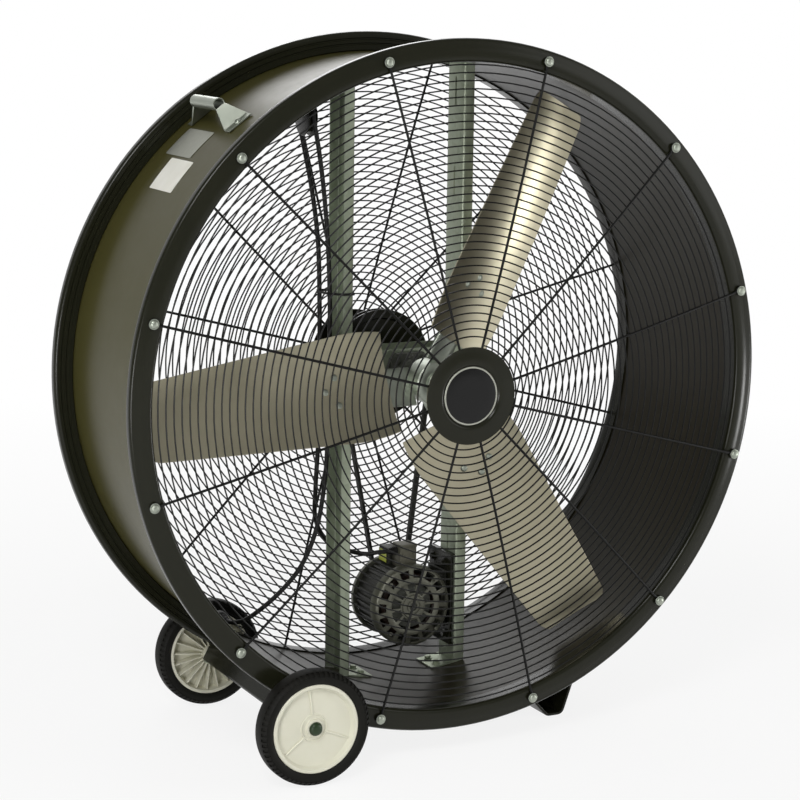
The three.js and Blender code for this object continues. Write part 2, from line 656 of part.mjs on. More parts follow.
const hubFrontY = BLADE_PLANE_Y - HUB_LENGTH / 2;
const hubRearY = BLADE_PLANE_Y + HUB_LENGTH / 2;
const arm = spiderArm();
const arms = BLADE_ANGLES.map((angle) => turnedTo(arm, angle));
const spiderHub = join(rod(HUB_RADIUS, hubFrontY, hubRearY, 24), ...arms);
const hubBore = rod(SHAFT_RADIUS + GAP, hubFrontY - 1, hubRearY + 1, 24);
add('blade_spider', cut(spiderHub, hubBore), zinc);
const blade = bladeSheet();
BLADE_ANGLES.forEach((angle, i) => add(`fan_blade_${i + 1}`, turnedTo(blade, angle), bladeMetal));

const pulleyEndY = BELT_PLANE_Y + BELT_WIDTH / 2 + PULLEY_WALL;
add('fan_shaft', rod(SHAFT_RADIUS, hubFrontY - SHAFT_END, pulleyEndY + 8, 24), steel);

// ---------------------------------------------------------------- belt drive
function pulley(beltRadius, bore, hubRadius, webbed, sides) {
  const half = BELT_WIDTH / 2 + PULLEY_WALL;
  const groove = beltRadius - BELT_THICKNESS - PULLEY_GROOVE_FLOOR;
  const grooveHalf = BELT_WIDTH / 2 + GAP;
  const webEnd = groove - PULLEY_RIM_WALL;
  const front = webbed
    ? [[hubRadius, half], [hubRadius, PULLEY_WEB / 2], [webEnd, PULLEY_WEB / 2], [webEnd, half]]
    : [];
  const back = front.map(([radius, y]) => [radius, -y]).reverse();
  const section = [
    [bore, half], ...front, [beltRadius, half],
    [beltRadius, grooveHalf], [groove, grooveHalf], [groove, -grooveHalf], [beltRadius, -grooveHalf],
    [beltRadius, -half], ...back, [bore, -half],
  ];
  return turned(section, sides).translate(0, BELT_PLANE_Y, 0);
}
const drivenPulley = pulley(DRIVEN_BELT_RADIUS, SHAFT_RADIUS + GAP, PULLEY_HUB_RADIUS, true, 20);
add('driven_pulley', drivenPulley, rimPaint);
const drivePulley = pulley(DRIVE_BELT_RADIUS, MOTOR_SHAFT_RADIUS + GAP, 0, false, 12);
add('drive_pulley', drivePulley.translate(MOTOR_X, 0, MOTOR_Z), castMetal);

// the outline of a loop round both pulleys, at a depth inside the belt's outer face
function beltLoop(depth) {
  const large = DRIVEN_BELT_RADIUS - depth;
  const small = DRIVE_BELT_RADIUS - depth;
  const distance = Math.hypot(MOTOR_X, MOTOR_Z);
  const line = THREE.MathUtils.radToDeg(Math.atan2(MOTOR_Z, MOTOR_X));
  const lean = THREE.MathUtils.radToDeg(Math.acos((large - small) / distance));
  const arc = (x, z, radius, from, to, steps) => Array.from({ length: steps + 1 }, (_, i) => {
    const angle = from + ((to - from) * i) / steps;
    return [x + radius * cos(angle), z + radius * sin(angle)];
  });
  const roundLarge = arc(0, 0, large, line + lean, line + 360 - lean, 16);
  const roundSmall = arc(MOTOR_X, MOTOR_Z, small, line - lean, line + lean, 8);
  return [...roundLarge, ...roundSmall];
}
const beltSpan = [BELT_PLANE_Y - BELT_WIDTH / 2, BELT_PLANE_Y + BELT_WIDTH / 2];
add('drive_belt', slab(beltLoop(0), beltSpan[0], beltSpan[1], [beltLoop(BELT_THICKNESS)]), rubber);

// ---------------------------------------------------------------- motor
const motor = new THREE.Group();
motor.position.set(MOTOR_X, 0, MOTOR_Z);
drum.add(motor);

// the frame with its wound core and the flat feet by which the motor is bolted to its plate
const frameBore = MOTOR_RADIUS - MOTOR_FRAME_WALL;
const frameTube = tube(MOTOR_RADIUS, frameBore, MOTOR_BODY_Y, MOTOR_REAR_Y, 24);
const footBox = box(
  [frameBore, MOTOR_BASE_HEIGHT],
  [MOTOR_BODY_Y + 8, MOTOR_REAR_Y - 8],
  [-MOTOR_FOOT_WIDTH / 2, MOTOR_FOOT_WIDTH / 2],
);
const footRelief = rod(MOTOR_RADIUS - 2, MOTOR_BODY_Y, MOTOR_REAR_Y, 24);
const statorRadius = MOTOR_RADIUS - MOTOR_FRAME_WALL / 2;
const stator = tube(statorRadius, ROTOR_RADIUS + ROTOR_AIR_GAP, MOTOR_BODY_Y + 10, MOTOR_REAR_Y - 10, 24);
add('motor_frame', join(frameTube, cut(footBox, footRelief), stator), motorPaint, motor);

// an end bell: a cup with a ring of vents round its bearing boss
function endBell(faceY, rimY) {
  const side = Math.sign(rimY - faceY);
  const section = [
    [MOTOR_SHAFT_RADIUS + GAP, faceY],
    [MOTOR_BELL_RADIUS - BELL_CORNER, faceY],
    [MOTOR_BELL_RADIUS, faceY + side * BELL_CORNER],
    [MOTOR_BELL_RADIUS, rimY],
    [MOTOR_BELL_RADIUS - BELL_WALL, rimY],
    [MOTOR_BELL_RADIUS - BELL_WALL, faceY + side * (BELL_CORNER + 2)],
    [MOTOR_BELL_RADIUS - BELL_CORNER - 3, faceY + side * BELL_WALL],
    [BELL_BOSS_RADIUS, faceY + side * BELL_WALL],
    [BELL_BOSS_RADIUS, rimY],
    [MOTOR_SHAFT_RADIUS + GAP, rimY],
  ];
  const reach = [faceY - side, faceY + side * (BELL_WALL + 4)].sort((a, b) => a - b);
  const vents = Array.from({ length: VENT_COUNT }, (_, i) => {
    const bar = box([VENT_INNER_RADIUS, VENT_OUTER_RADIUS], reach, [-VENT_WIDTH / 2, VENT_WIDTH / 2]);
    return bar.rotateY(((2 * i + 1) * Math.PI) / VENT_COUNT);
  });
  return cut(turned(section, 20), ...vents);
}
add('motor_front_bell', endBell(MOTOR_FRONT_Y, MOTOR_BODY_Y - GAP), motorPaint, motor);
const rearBellFaceY = MOTOR_REAR_Y + GAP + MOTOR_REAR_BELL_DEPTH;
add('motor_rear_bell', endBell(rearBellFaceY, MOTOR_REAR_Y + GAP), motorPaint, motor);

// the rotor turns in the bells' bosses and carries the small pulley
const rotorShaft = rod(MOTOR_SHAFT_RADIUS, MOTOR_FRONT_Y + 2, pulleyEndY + 4, 16);
const rotorCore = rod(ROTOR_RADIUS, MOTOR_BODY_Y + 6, MOTOR_REAR_Y - 6, 24);
add('motor_rotor', join(rotorCore, rotorShaft), steel, motor);

// a plate bolted over the right post's slots, bent so that its edges bear on the post
const plateMiddleX = MOTOR_BASE_X + GAP + MOTOR_PLATE_SHEET / 2;
const plateTop = MOTOR_Z + MOTOR_PLATE_HEIGHT / 2 - MOTOR_PLATE_SHEET / 2;
const plateBottom = plateTop - MOTOR_PLATE_HEIGHT + MOTOR_PLATE_SHEET;
const motorPlate = slab(
  sheetOutline(
    [
      [POST_INSET - GAP, plateTop],
      [plateMiddleX, plateTop],
      [plateMiddleX, plateBottom],
      [POST_INSET - GAP, plateBottom],
    ],
    MOTOR_PLATE_SHEET,
  ),
  POST_FRONT_Y + 2,
  MOTOR_REAR_Y,
);
add('motor_plate', motorPlate, rimPaint);

// two housings stand on top of the motor: one for the wires and one for the capacitor
function onMotor(width, height, y0, y1) {
  const block = box([-width / 2, width / 2], [y0, y1], [0, MOTOR_RADIUS + GAP + height]);
  return cut(block, rod(MOTOR_RADIUS + GAP, y0 - 1, y1 + 1, 24));
}
const terminalY = MOTOR_BODY_Y + GAP;
const capacitorY = terminalY + TERMINAL_BOX_LENGTH + GAP;
const terminalTop = MOTOR_Z + MOTOR_RADIUS + GAP + TERMINAL_BOX_HEIGHT;
const terminalSpan = [terminalY, terminalY + TERMINAL_BOX_LENGTH];
const capacitorSpan = [capacitorY, capacitorY + CAPACITOR_LENGTH];
add('terminal_box', onMotor(TERMINAL_BOX_WIDTH, TERMINAL_BOX_HEIGHT, ...terminalSpan), zinc, motor);
add('capacitor_cover', onMotor(CAPACITOR_WIDTH, CAPACITOR_HEIGHT, ...capacitorSpan), motorPaint, motor);

// ---------------------------------------------------------------- wheels
function frontTyre() {
  const outer = -WHEEL_OUTER_Y;
  const inner = -WHEEL_INNER_Y;
  const section = [
    [WHEEL_RIM_RADIUS + GAP, outer + 5],
    [WHEEL_RIM_RADIUS + 10, outer],
    [WHEEL_RADIUS - 8, outer + 2],
    [WHEEL_RADIUS, outer + 12],
    [WHEEL_RADIUS, inner - 12],
    [WHEEL_RADIUS - 8, inner - 2],
    [WHEEL_RIM_RADIUS + 10, inner],
    [WHEEL_RIM_RADIUS + GAP, inner - 5],
  ];
  return turned(section, WHEEL_SIDES);
}

const wheelHubY = -WHEEL_OUTER_Y + AXLE_CAP_HEIGHT - 2 + GAP;

function frontWheelRim() {
  const outer = -WHEEL_OUTER_Y + 4;
  const inner = -AXLE_PLATE_Y - GAP;
  const webOuter = outer + 11;
  const bore = AXLE_RADIUS + GAP;
  const section = [
    [bore, wheelHubY],
    [WHEEL_HUB_RADIUS, wheelHubY],
    [WHEEL_HUB_RADIUS, webOuter],
    [WHEEL_RIM_RADIUS - 9, webOuter],
    [WHEEL_RIM_RADIUS - 6, outer],
    [WHEEL_RIM_RADIUS, outer],
    [WHEEL_RIM_RADIUS, -WHEEL_INNER_Y - 4],
    [WHEEL_RIM_RADIUS - 5, -WHEEL_INNER_Y - 4],
    [WHEEL_RIM_RADIUS - 9, webOuter + WHEEL_WEB],
    [WHEEL_HUB_RADIUS, webOuter + WHEEL_WEB],
    [WHEEL_HUB_RADIUS, inner],
    [bore, inner],
  ];
  return turned(section, WHEEL_SIDES);
}

const axleGroup = new THREE.Group();
axleGroup.position.set(AXLE_X, 0, AXLE_Z);
drum.add(axleGroup);
const tyre = frontTyre();
const wheelRim = frontWheelRim();
add('front_tyre', tyre, rubber, axleGroup);
add('front_wheel_rim', wheelRim, wheelPlastic, axleGroup);
add('rear_tyre', mirrored(tyre), rubber, axleGroup);
add('rear_wheel_rim', mirrored(wheelRim), wheelPlastic, axleGroup);

const capBase = wheelHubY - GAP;
const axleEnd = -capBase - GAP;
add('axle', rod(AXLE_RADIUS, -axleEnd, axleEnd, 16), steel, axleGroup);
const capSection = [
  [0, -WHEEL_OUTER_Y],
  [AXLE_CAP_RADIUS * 0.7, -WHEEL_OUTER_Y + 2],
  [AXLE_CAP_RADIUS, capBase - 2],
  [AXLE_CAP_RADIUS, capBase],
  [0, capBase],
];
const axleCap = turned(capSection, 16);
add('front_axle_cap', axleCap, capPaint, axleGroup);
add('rear_axle_cap', mirrored(axleCap), capPaint, axleGroup);

// what follows lies along the line from the drum's axis to the axle, drawn on +X and turned
function towardsAxle(geometry) {
  return geometry.rotateY(-THREE.MathUtils.degToRad(AXLE_ANGLE));
}

// an end plate on each rim's face holds the axle
function axlePlate() {
  const half = AXLE_PLATE_WIDTH / 2;
  const inner = BOLT_CIRCLE_RADIUS - BOLT_HEAD_RADIUS;
  const outline = [
    [inner, -half * 0.6], [AXLE_DISTANCE + 6, -half], [AXLE_DISTANCE + AXLE_PLATE_END, -half * 0.5],
    [AXLE_DISTANCE + AXLE_PLATE_END, half * 0.5], [AXLE_DISTANCE + 6, half], [inner, half * 0.6],
  ];
  const plate = slab(outline, -AXLE_PLATE_Y, -RIM_FACE_Y - GAP);
  return cut(plate, rod(AXLE_RADIUS + GAP, -AXLE_PLATE_Y - 1, -RIM_FACE_Y + 1, 16, AXLE_DISTANCE, 0));
}
const endPlate = towardsAxle(axlePlate());
add('front_axle_plate', endPlate, zinc);
add('rear_axle_plate', mirrored(endPlate), zinc);

// a channel round the axle stiffens it from rim to rim
function axleChannel() {
  const leg = (AXLE_CHANNEL_WIDTH - AXLE_CHANNEL_SHEET) / 2;
  const open = RIM_RADIUS + GAP;
  const base = open + AXLE_CHANNEL_DEPTH - AXLE_CHANNEL_SHEET / 2;
  const middle = [[open, -leg], [base, -leg], [base, leg], [open, leg]];
  return slab(sheetOutline(middle, AXLE_CHANNEL_SHEET), -RIM_FACE_Y, RIM_FACE_Y);
}
add('axle_channel', towardsAxle(axleChannel()), rimPaint);

// ---------------------------------------------------------------- foot
// a strap bent to a V: tabs on the drum, two arms and a flat pad on the floor
function footStrap() {
  const half = FOOT_SHEET / 2;
  const seat = (SHELL_RADIUS + GAP) / cos(FOOT_TAB_ANGLE / 2) + half;
  const towards = THREE.MathUtils.radToDeg(Math.atan2(-AXIS_HEIGHT, FOOT_X));
  const onDrum = (angle) => {
    const place = polar(seat, towards + angle);
    return [place.x, place.z];
  };
  const padHalf = FOOT_PAD_LENGTH / 2;
  const bottom = -AXIS_HEIGHT + half;
  const middle = [
    onDrum(-FOOT_INNER_ANGLE - FOOT_TAB_ANGLE),
    onDrum(-FOOT_INNER_ANGLE),
    [FOOT_X - padHalf - 7, bottom + 8],
    [FOOT_X - padHalf, bottom],
    [FOOT_X + padHalf, bottom],
    [FOOT_X + padHalf + 5, bottom + 8],
    onDrum(FOOT_OUTER_ANGLE),
    onDrum(FOOT_OUTER_ANGLE + FOOT_TAB_ANGLE),
  ];
  return slab(sheetOutline(middle, FOOT_SHEET), -FOOT_WIDTH / 2, FOOT_WIDTH / 2);
}
add('foot', footStrap(), rimPaint);

// ---------------------------------------------------------------- handle
// drawn on +X and turned to its place: a tube on two splayed legs, with their feet bolted to the drum
function handle() {
  const seat = SHELL_RADIUS + GAP;
  const centre = SHELL_RADIUS + HANDLE_RISE;
  const y0 = HANDLE_Y - HANDLE_LENGTH / 2;
  const y1 = HANDLE_Y + HANDLE_LENGTH / 2;
  const leg = (side) => {
    const top = HANDLE_Y + (side * HANDLE_LENGTH) / 2 - side * HANDLE_SHEET;
    const low = top + side * HANDLE_SPLAY;
    const plate = new THREE.BoxGeometry(1, HANDLE_SHEET, 1);
    return moved(plate, (x, y, z) => {
      const up = x > 0;
      const radius = up ? centre - HANDLE_TUBE_BORE - 1 : seat;
      const width = up ? HANDLE_TUBE_RADIUS * 1.4 : HANDLE_FOOT_WIDTH;
      return new THREE.Vector3(radius, (up ? top : low) + y, z * width);
    });
  };
  const shoe = (side) => {
    const start = HANDLE_Y + (side * HANDLE_LENGTH) / 2 - side * HANDLE_SHEET + side * (HANDLE_SPLAY - 1);
    const y = [start, start + side * HANDLE_FOOT_LENGTH].sort((a, b) => a - b);
    const half = HANDLE_FOOT_WIDTH / 2;
    return box([seat - HANDLE_SHEET, seat + HANDLE_SHEET], y, [-half, half]);
  };
  const bolt = (side) => {
    const y = HANDLE_Y + side * (HANDLE_LENGTH / 2 + HANDLE_SPLAY + HANDLE_FOOT_LENGTH / 2 - HANDLE_SHEET);
    const from = new THREE.Vector3(seat + HANDLE_SHEET / 2, y, 0);
    const to = new THREE.Vector3(seat + HANDLE_SHEET + HANDLE_BOLT_HEIGHT, y, 0);
    return pin(from, to, HANDLE_BOLT_RADIUS, 6);
  };
  const grip = rod(HANDLE_TUBE_RADIUS, y0, y1, 16, centre, 0);
  const bore = rod(HANDLE_TUBE_BORE, y0 - 1, y1 + 1, 12, centre, 0);
  return cut(join(grip, leg(-1), leg(1), shoe(-1), shoe(1), bolt(-1), bolt(1)), bore);
}

function towardsHandle(geometry) {
  return geometry.rotateY(-THREE.MathUtils.degToRad(HANDLE_ANGLE));
}
const drumSpace = rod(SHELL_RADIUS + GAP, -RIM_Y, RIM_Y, DRUM_SIDES);
add('handle', cut(towardsHandle(handle()), drumSpace), brightZinc);

// ---------------------------------------------------------------- bare plates
function curvedPlate(angles, front, rear) {
  const plate = new THREE.BoxGeometry(1, 1, 1, 1, 1, 4);
  return moved(plate, (x, y, z) => {
    const angle = angles[0] + (z + 0.5) * (angles[1] - angles[0]);
    const radius = SHELL_RADIUS + GAP + (x + 0.5) * PLATE_THICKNESS;
    return polar(radius, angle, front + (y + 0.5) * (rear - front));
  });
}
const ratingPlate = curvedPlate(RATING_PLATE_ANGLES, RATING_PLATE_FRONT, RATING_PLATE_REAR);
add('rating_plate', ratingPlate, ratingFoil);
add('blank_label', curvedPlate(LABEL_ANGLES, LABEL_FRONT, LABEL_REAR), labelPaper);

// ---------------------------------------------------------------- supply cord
// from the wires' housing up the left post, over a hook, and back down to its plug at the drum's wall
const glandX = MOTOR_X - TERMINAL_BOX_WIDTH / 2 - GAP;
const glandY = terminalY + TERMINAL_BOX_LENGTH / 2;
const glandZ = terminalTop - GLAND_DROP;
const cordStartX = glandX - GLAND_LENGTH - GAP;
const wallZ = Math.sqrt(SHELL_INNER_RADIUS ** 2 - HOOK_X ** 2);
const loopTop = wallZ - CORD_LOOP_DROP;
const hookCentreZ = loopTop - CORD_LOOP_RADIUS;
const loopSide = hookCentreZ - 4;
const onPost = (x, y, share) => new THREE.Vector3(x, y, share * loopTop);
const byMotor = (x, y, rise) => new THREE.Vector3(x, y, MOTOR_Z + rise);
const byWall = (inset, y, angle) => polar(SHELL_INNER_RADIUS - inset, angle, y);
const onHook = (y, z) => new THREE.Vector3(HOOK_X, HOOK_Y + y, z);
const CORD_POINTS = [
  new THREE.Vector3(cordStartX, glandY, glandZ),
  new THREE.Vector3(cordStartX - 20, glandY, glandZ),
  byMotor(-62, 52, 102),
  byMotor(-96, 84, 108),
  byMotor(-130, 98, 130),
  byMotor(-154, 92, 172),
  byMotor(-160, 80, 238),
  onPost(-157, 76, -0.26),
  onPost(-156, 75, 0),
  onPost(-157, 75, 0.27),
  onPost(-162, 74, 0.49),
  onPost(-178, 70, 0.68),
  onPost(-196, 67, 0.83),
  onHook(CORD_LOOP_RADIUS, loopSide),
  onHook(CORD_LOOP_RADIUS - 9, loopTop - 11),
  onHook(0, loopTop),
  onHook(9 - CORD_LOOP_RADIUS, loopTop - 11),
  onHook(-CORD_LOOP_RADIUS, loopSide),
  onPost(-194, 3, 0.83),
  onPost(-176, 18, 0.68),
  onPost(-161, 30, 0.49),
  onPost(-153, 36, 0.27),
  onPost(-152, 38, 0),
  byMotor(-153, 40, 348),
  byMotor(-159, 42, 248),
  byMotor(-176, 44, 158),
  byWall(180, 48, 241.4),
  byWall(121, 56, 240.1),
  byWall(69.5, 66, 238.3),
  byWall(36, 82, 237.1),
  byWall(21.7, 102, 236.2),
  byWall(19.2, 122, 236),
];

const cordCurve = new THREE.CatmullRomCurve3(CORD_POINTS, false, 'centripetal');
function circle(radius, sides) {
  return new THREE.Shape(Array.from({ length: sides }, (_, i) => {
    return new THREE.Vector2(radius * cos((360 * i) / sides), radius * sin((360 * i) / sides));
  }));
}
const cordTube = new THREE.ExtrudeGeometry(circle(CORD_RADIUS, 8), {
  steps: CORD_STEPS,
  extrudePath: cordCurve,
  bevelEnabled: false,
});
add('supply_cord', cordTube, cordRubber);

// a tapered strain relief on the housing, and the plug at the far end
const glandSection = [
  [0, 0],
  [2 * CORD_RADIUS, 0],
  [2 * CORD_RADIUS, 5],
  [CORD_RADIUS + 1, GLAND_LENGTH],
  [0, GLAND_LENGTH],
];
const gland = turned(glandSection, 12).rotateZ(Math.PI / 2).translate(glandX, glandY, glandZ);
add('cord_strain_relief', gland, cordRubber);
const cordEnd = CORD_POINTS[CORD_POINTS.length - 1];
const cordHeading = cordEnd.clone().sub(cordCurve.getPointAt(0.998)).normalize();
const plugSection = [
  [0, GAP],
  [CORD_RADIUS + 2, GAP],
  [PLUG_RADIUS - 2, PLUG_LENGTH / 3],
  [PLUG_RADIUS, PLUG_LENGTH / 2],
  [PLUG_RADIUS, PLUG_LENGTH],
  [0, PLUG_LENGTH],
];
const plug = turned(plugSection, 12);
plug.applyQuaternion(new THREE.Quaternion().setFromUnitVectors(new THREE.Vector3(0, 1, 0), cordHeading));
add('plug', plug.translate(cordEnd.x, cordEnd.y, cordEnd.z), cordRubber);

// the hook: a strap from the drum's wall that ends in a saddle, over which the cord hangs
const saddle = pin(
  new THREE.Vector3(HOOK_X - HOOK_WIDTH / 2, HOOK_Y, hookCentreZ),
  new THREE.Vector3(HOOK_X + HOOK_WIDTH / 2, HOOK_Y, hookCentreZ),
  HOOK_RADIUS,
  16,
);
const strapX = HOOK_X + HOOK_WIDTH / 2 - 1;
const strap = box(
  [strapX, strapX + HOOK_STRAP_SHEET],
  [HOOK_Y - HOOK_STRAP_WIDTH / 2, HOOK_Y + HOOK_STRAP_WIDTH / 2],
  [hookCentreZ - HOOK_RADIUS / 3, wallZ + HOOK_STRAP_WIDTH],
);
const reachY = [HOOK_Y - HOOK_STRAP_WIDTH, HOOK_Y + HOOK_STRAP_WIDTH];
const inWall = rod(SHELL_INNER_RADIUS - GAP, ...reachY, DRUM_SIDES);
add('cord_hook', join(saddle, common(strap, inWall)), rimPaint);

export default group;
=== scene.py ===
"""A belt-driven drum fan on two wheels and a foot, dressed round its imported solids."""
import math

import bpy
from mathutils import Matrix, Vector


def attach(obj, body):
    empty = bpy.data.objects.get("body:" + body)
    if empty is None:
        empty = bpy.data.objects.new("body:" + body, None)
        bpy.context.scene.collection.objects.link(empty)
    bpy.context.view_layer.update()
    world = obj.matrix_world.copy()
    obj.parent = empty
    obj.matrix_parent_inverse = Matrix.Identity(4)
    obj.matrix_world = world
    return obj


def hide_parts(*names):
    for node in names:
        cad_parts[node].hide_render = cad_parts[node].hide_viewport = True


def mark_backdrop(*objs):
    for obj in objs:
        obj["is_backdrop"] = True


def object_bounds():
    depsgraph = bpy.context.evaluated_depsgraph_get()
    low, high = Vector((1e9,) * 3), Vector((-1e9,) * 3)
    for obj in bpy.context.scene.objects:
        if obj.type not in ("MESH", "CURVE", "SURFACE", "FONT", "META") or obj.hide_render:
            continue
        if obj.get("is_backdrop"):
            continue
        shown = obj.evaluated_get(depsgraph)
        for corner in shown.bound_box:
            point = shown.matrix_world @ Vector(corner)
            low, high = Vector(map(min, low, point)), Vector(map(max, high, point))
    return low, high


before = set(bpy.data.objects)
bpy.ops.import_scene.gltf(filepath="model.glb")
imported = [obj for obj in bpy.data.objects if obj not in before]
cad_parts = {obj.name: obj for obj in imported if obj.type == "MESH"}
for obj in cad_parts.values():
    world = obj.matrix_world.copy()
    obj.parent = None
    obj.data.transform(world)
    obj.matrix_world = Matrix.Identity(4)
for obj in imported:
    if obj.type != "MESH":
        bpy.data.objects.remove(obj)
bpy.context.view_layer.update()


# ---- Camera, studio and floor -------------------------------------------------------
# A long lens looks at the fan's outlet from its left and a little above. The fan stands
# on a white floor before a white backdrop, under soft lamps in a dim grey studio.
def linear(code):
    """A colour such as #a0b1c2, as the linear values that a shader takes."""
    channels = [int(code[place:place + 2], 16) / 255 for place in (1, 3, 5)]
    return [c / 12.92 if c <= 0.04045 else ((c + 0.055) / 1.055) ** 2.4 for c in channels] + [1.0]


def node(tree, kind, inputs=None, **settings):
    """Adds a node with its settings, and gives its inputs their values or links."""
    made = tree.nodes.new(kind)
    for setting, value in settings.items():
        setattr(made, setting, value)
    feed(tree, made, inputs or {})
    return made


def feed(tree, made, inputs):
    """Gives the inputs of a node their values or links."""
    for socket, value in inputs.items():
        if isinstance(value, bpy.types.NodeSocket):
            tree.links.new(value, made.inputs[socket])
        else:
            made.inputs[socket].default_value = value


CAMERA_TURN = -26.236
camera_data = bpy.data.cameras.new("camera")
camera_data.sensor_width = 36
camera_data.lens = 103.87
camera_data.clip_end = 60
camera = bpy.data.objects.new("camera", camera_data)
camera.location = (-1.9735, -3.9412, 1.4683)
camera.rotation_euler = [math.radians(angle) for angle in (79.454, -0.82, CAMERA_TURN)]
bpy.context.scene.collection.objects.link(camera)
bpy.context.scene.camera = camera
bpy.context.scene.view_settings.view_transform = "Standard"

LAMPS = {
    "key": ((-2.4, -3.0, 3.6), 1.4, 88),
    "fill": ((3.6, -3.0, 2.0), 2.6, 34),
    "back": ((0.9, 3.4, 2.7), 1.6, 24),
    "low": ((-2.8, -2.4, 0.5), 1.0, 38),
    "card": ((2.13, -1.32, 0.25), 0.35, 8),
}
for name, (place, size, power) in LAMPS.items():
    lamp = bpy.data.lights.new(name, "AREA")
    lamp.size = size
    lamp.energy = power
    holder = bpy.data.objects.new(name, lamp)
    holder.location = place
    holder.rotation_euler = (Vector((0, 0, 0.7)) - Vector(place)).to_track_quat("-Z", "Y").to_euler()
    holder.visible_camera = False
    bpy.context.scene.collection.objects.link(holder)

world = bpy.data.worlds.new("grey_studio")
world.use_nodes = True
feed(world.node_tree, world.node_tree.nodes["Background"], {"Color": linear("#f2f3f0"), "Strength": 0.4})
bpy.context.scene.world = world


def white_screen(name, fade_start, fade_end, least):
    """White paper that the eye, mirrors and glass see evenly lit, more so the farther from the fan."""
    paper = bpy.data.materials.new(name)
    paper.use_nodes = True
    tree = paper.node_tree
    tree.nodes.remove(tree.nodes["Principled BSDF"])
    rays = node(tree, "ShaderNodeLightPath").outputs
    seen = node(tree, "ShaderNodeMath", {0: rays["Is Camera Ray"], 1: rays["Is Glossy Ray"]}, operation="MAXIMUM")
    seen = node(tree, "ShaderNodeMath", {0: seen.outputs[0], 1: rays["Is Transmission Ray"]}, operation="MAXIMUM")
    place = node(tree, "ShaderNodeTexCoord").outputs["Object"]
    distance = node(tree, "ShaderNodeVectorMath", {0: place}, operation="LENGTH").outputs["Value"]
    evenness = node(
        tree,
        "ShaderNodeMapRange",
        {"Value": distance, "From Min": fade_start, "From Max": fade_end, "To Min": least, "To Max": 1.0},
    )
    share = node(tree, "ShaderNodeMath", {0: seen.outputs[0], 1: evenness.outputs[0]}, operation="MULTIPLY")
    shade = node(tree, "ShaderNodeBsdfDiffuse", {"Color": linear("#f4f4f4")})
    glow = node(tree, "ShaderNodeEmission", {"Color": (1, 1, 1, 1), "Strength": 1.0})
    mixed = node(tree, "ShaderNodeMixShader", {0: share.outputs[0], 1: shade.outputs[0], 2: glow.outputs[0]})
    feed(tree, tree.nodes["Material Output"], {"Surface": mixed.outputs[0]})
    return paper


bpy.ops.object.select_all(action="DESELECT")
bpy.ops.mesh.primitive_plane_add(size=24, location=(0, 0, -0.0005))
floor = bpy.context.object
floor.name = "floor"
floor.data.materials.append(white_screen("white_studio_floor", 1.2, 3.6, 0.85))
upright = (math.radians(90), 0, math.radians(CAMERA_TURN))
bpy.ops.mesh.primitive_plane_add(size=26, location=(4.4, 8.9, 6), rotation=upright)
backdrop = bpy.context.object
backdrop.name = "backdrop"
backdrop.data.materials.append(white_screen("white_studio_backdrop", 0, 1, 1.0))
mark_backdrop(floor, backdrop)


# ---- Supply cord --------------------------------------------------------------------
# A 9 mm round rubber cord, 2.2 m of it, leaves the motor's wiring box, is tied up the
# left post, hangs over a padded hook and comes down again to its plug by the drum's wall.
def new_material(name, **sockets):
    """A material with its shader's fixed sockets, its tree, its shader and the object's own coordinates."""
    made = bpy.data.materials.new(name)
    made.use_nodes = True
    shader = made.node_tree.nodes["Principled BSDF"]
    for socket, value in sockets.items():
        shader.inputs[socket.replace("_", " ")].default_value = value
    place = node(made.node_tree, "ShaderNodeTexCoord").outputs["Object"]
    return made, made.node_tree, shader, place


def surface(name, tints, gloss, stain, skin=(), **sockets):
    """A material whose stain (scale, detail, roughness of a noise) runs from tint to tint and from gloss to
    gloss, over a skin (scale, detail, strength, distance, roughness of a noise) that lifts it."""
    made, tree, shader, place = new_material(name, **sockets)
    noise = dict(zip(("Scale", "Detail", "Roughness"), stain))
    spread = node(tree, "ShaderNodeTexNoise", {"Vector": place, **noise}).outputs[0]
    tint = node(tree, "ShaderNodeMix", {0: spread, 6: linear(tints[0]), 7: linear(tints[1])}, data_type="RGBA")
    feed(tree, shader, {"Base Color": tint.outputs[2]})
    if isinstance(gloss, tuple):
        gloss = node(tree, "ShaderNodeMapRange", {"Value": spread, "To Min": gloss[0], "To Max": gloss[1]}).outputs[0]
    feed(tree, shader, {"Roughness": gloss})
    if skin:
        scale, detail, strength, distance, *rest = skin
        noise = {"Scale": scale, "Detail": detail, **({"Roughness": rest[0]} if rest else {})}
        fine = node(tree, "ShaderNodeTexNoise", {"Vector": place, **noise}).outputs[0]
        relief = node(tree, "ShaderNodeBump", {"Height": fine, "Strength": strength, "Distance": distance})
        feed(tree, shader, {"Normal": relief.outputs[0]})
    return made


def welded():
    """Ends a drawn mesh: merges its doubled points, turns its faces outwards and leaves edit mode."""
    bpy.ops.mesh.select_all(action="SELECT")
    bpy.ops.mesh.remove_doubles(threshold=1e-5)
    bpy.ops.mesh.normals_make_consistent(inside=False)
    bpy.ops.object.mode_set(mode="OBJECT")
    bpy.ops.object.transform_apply()
    return bpy.context.object


def draw(points):
    """Starts a mesh as one point, extrudes it from point to point, and stays in edit mode."""
    bpy.ops.object.select_all(action="DESELECT")
    bpy.ops.mesh.primitive_plane_add(size=0.01, location=points[0])
    bpy.ops.object.mode_set(mode="EDIT")
    bpy.ops.mesh.select_mode(type="VERT")
    bpy.ops.mesh.select_all(action="SELECT")
    bpy.ops.mesh.merge(type="CENTER")
    for start, end in zip(points, points[1:]):
        step = [b - a for a, b in zip(start, end)]
        bpy.ops.mesh.extrude_region_move(TRANSFORM_OT_translate={"value": step})
    bpy.ops.mesh.select_all(action="SELECT")


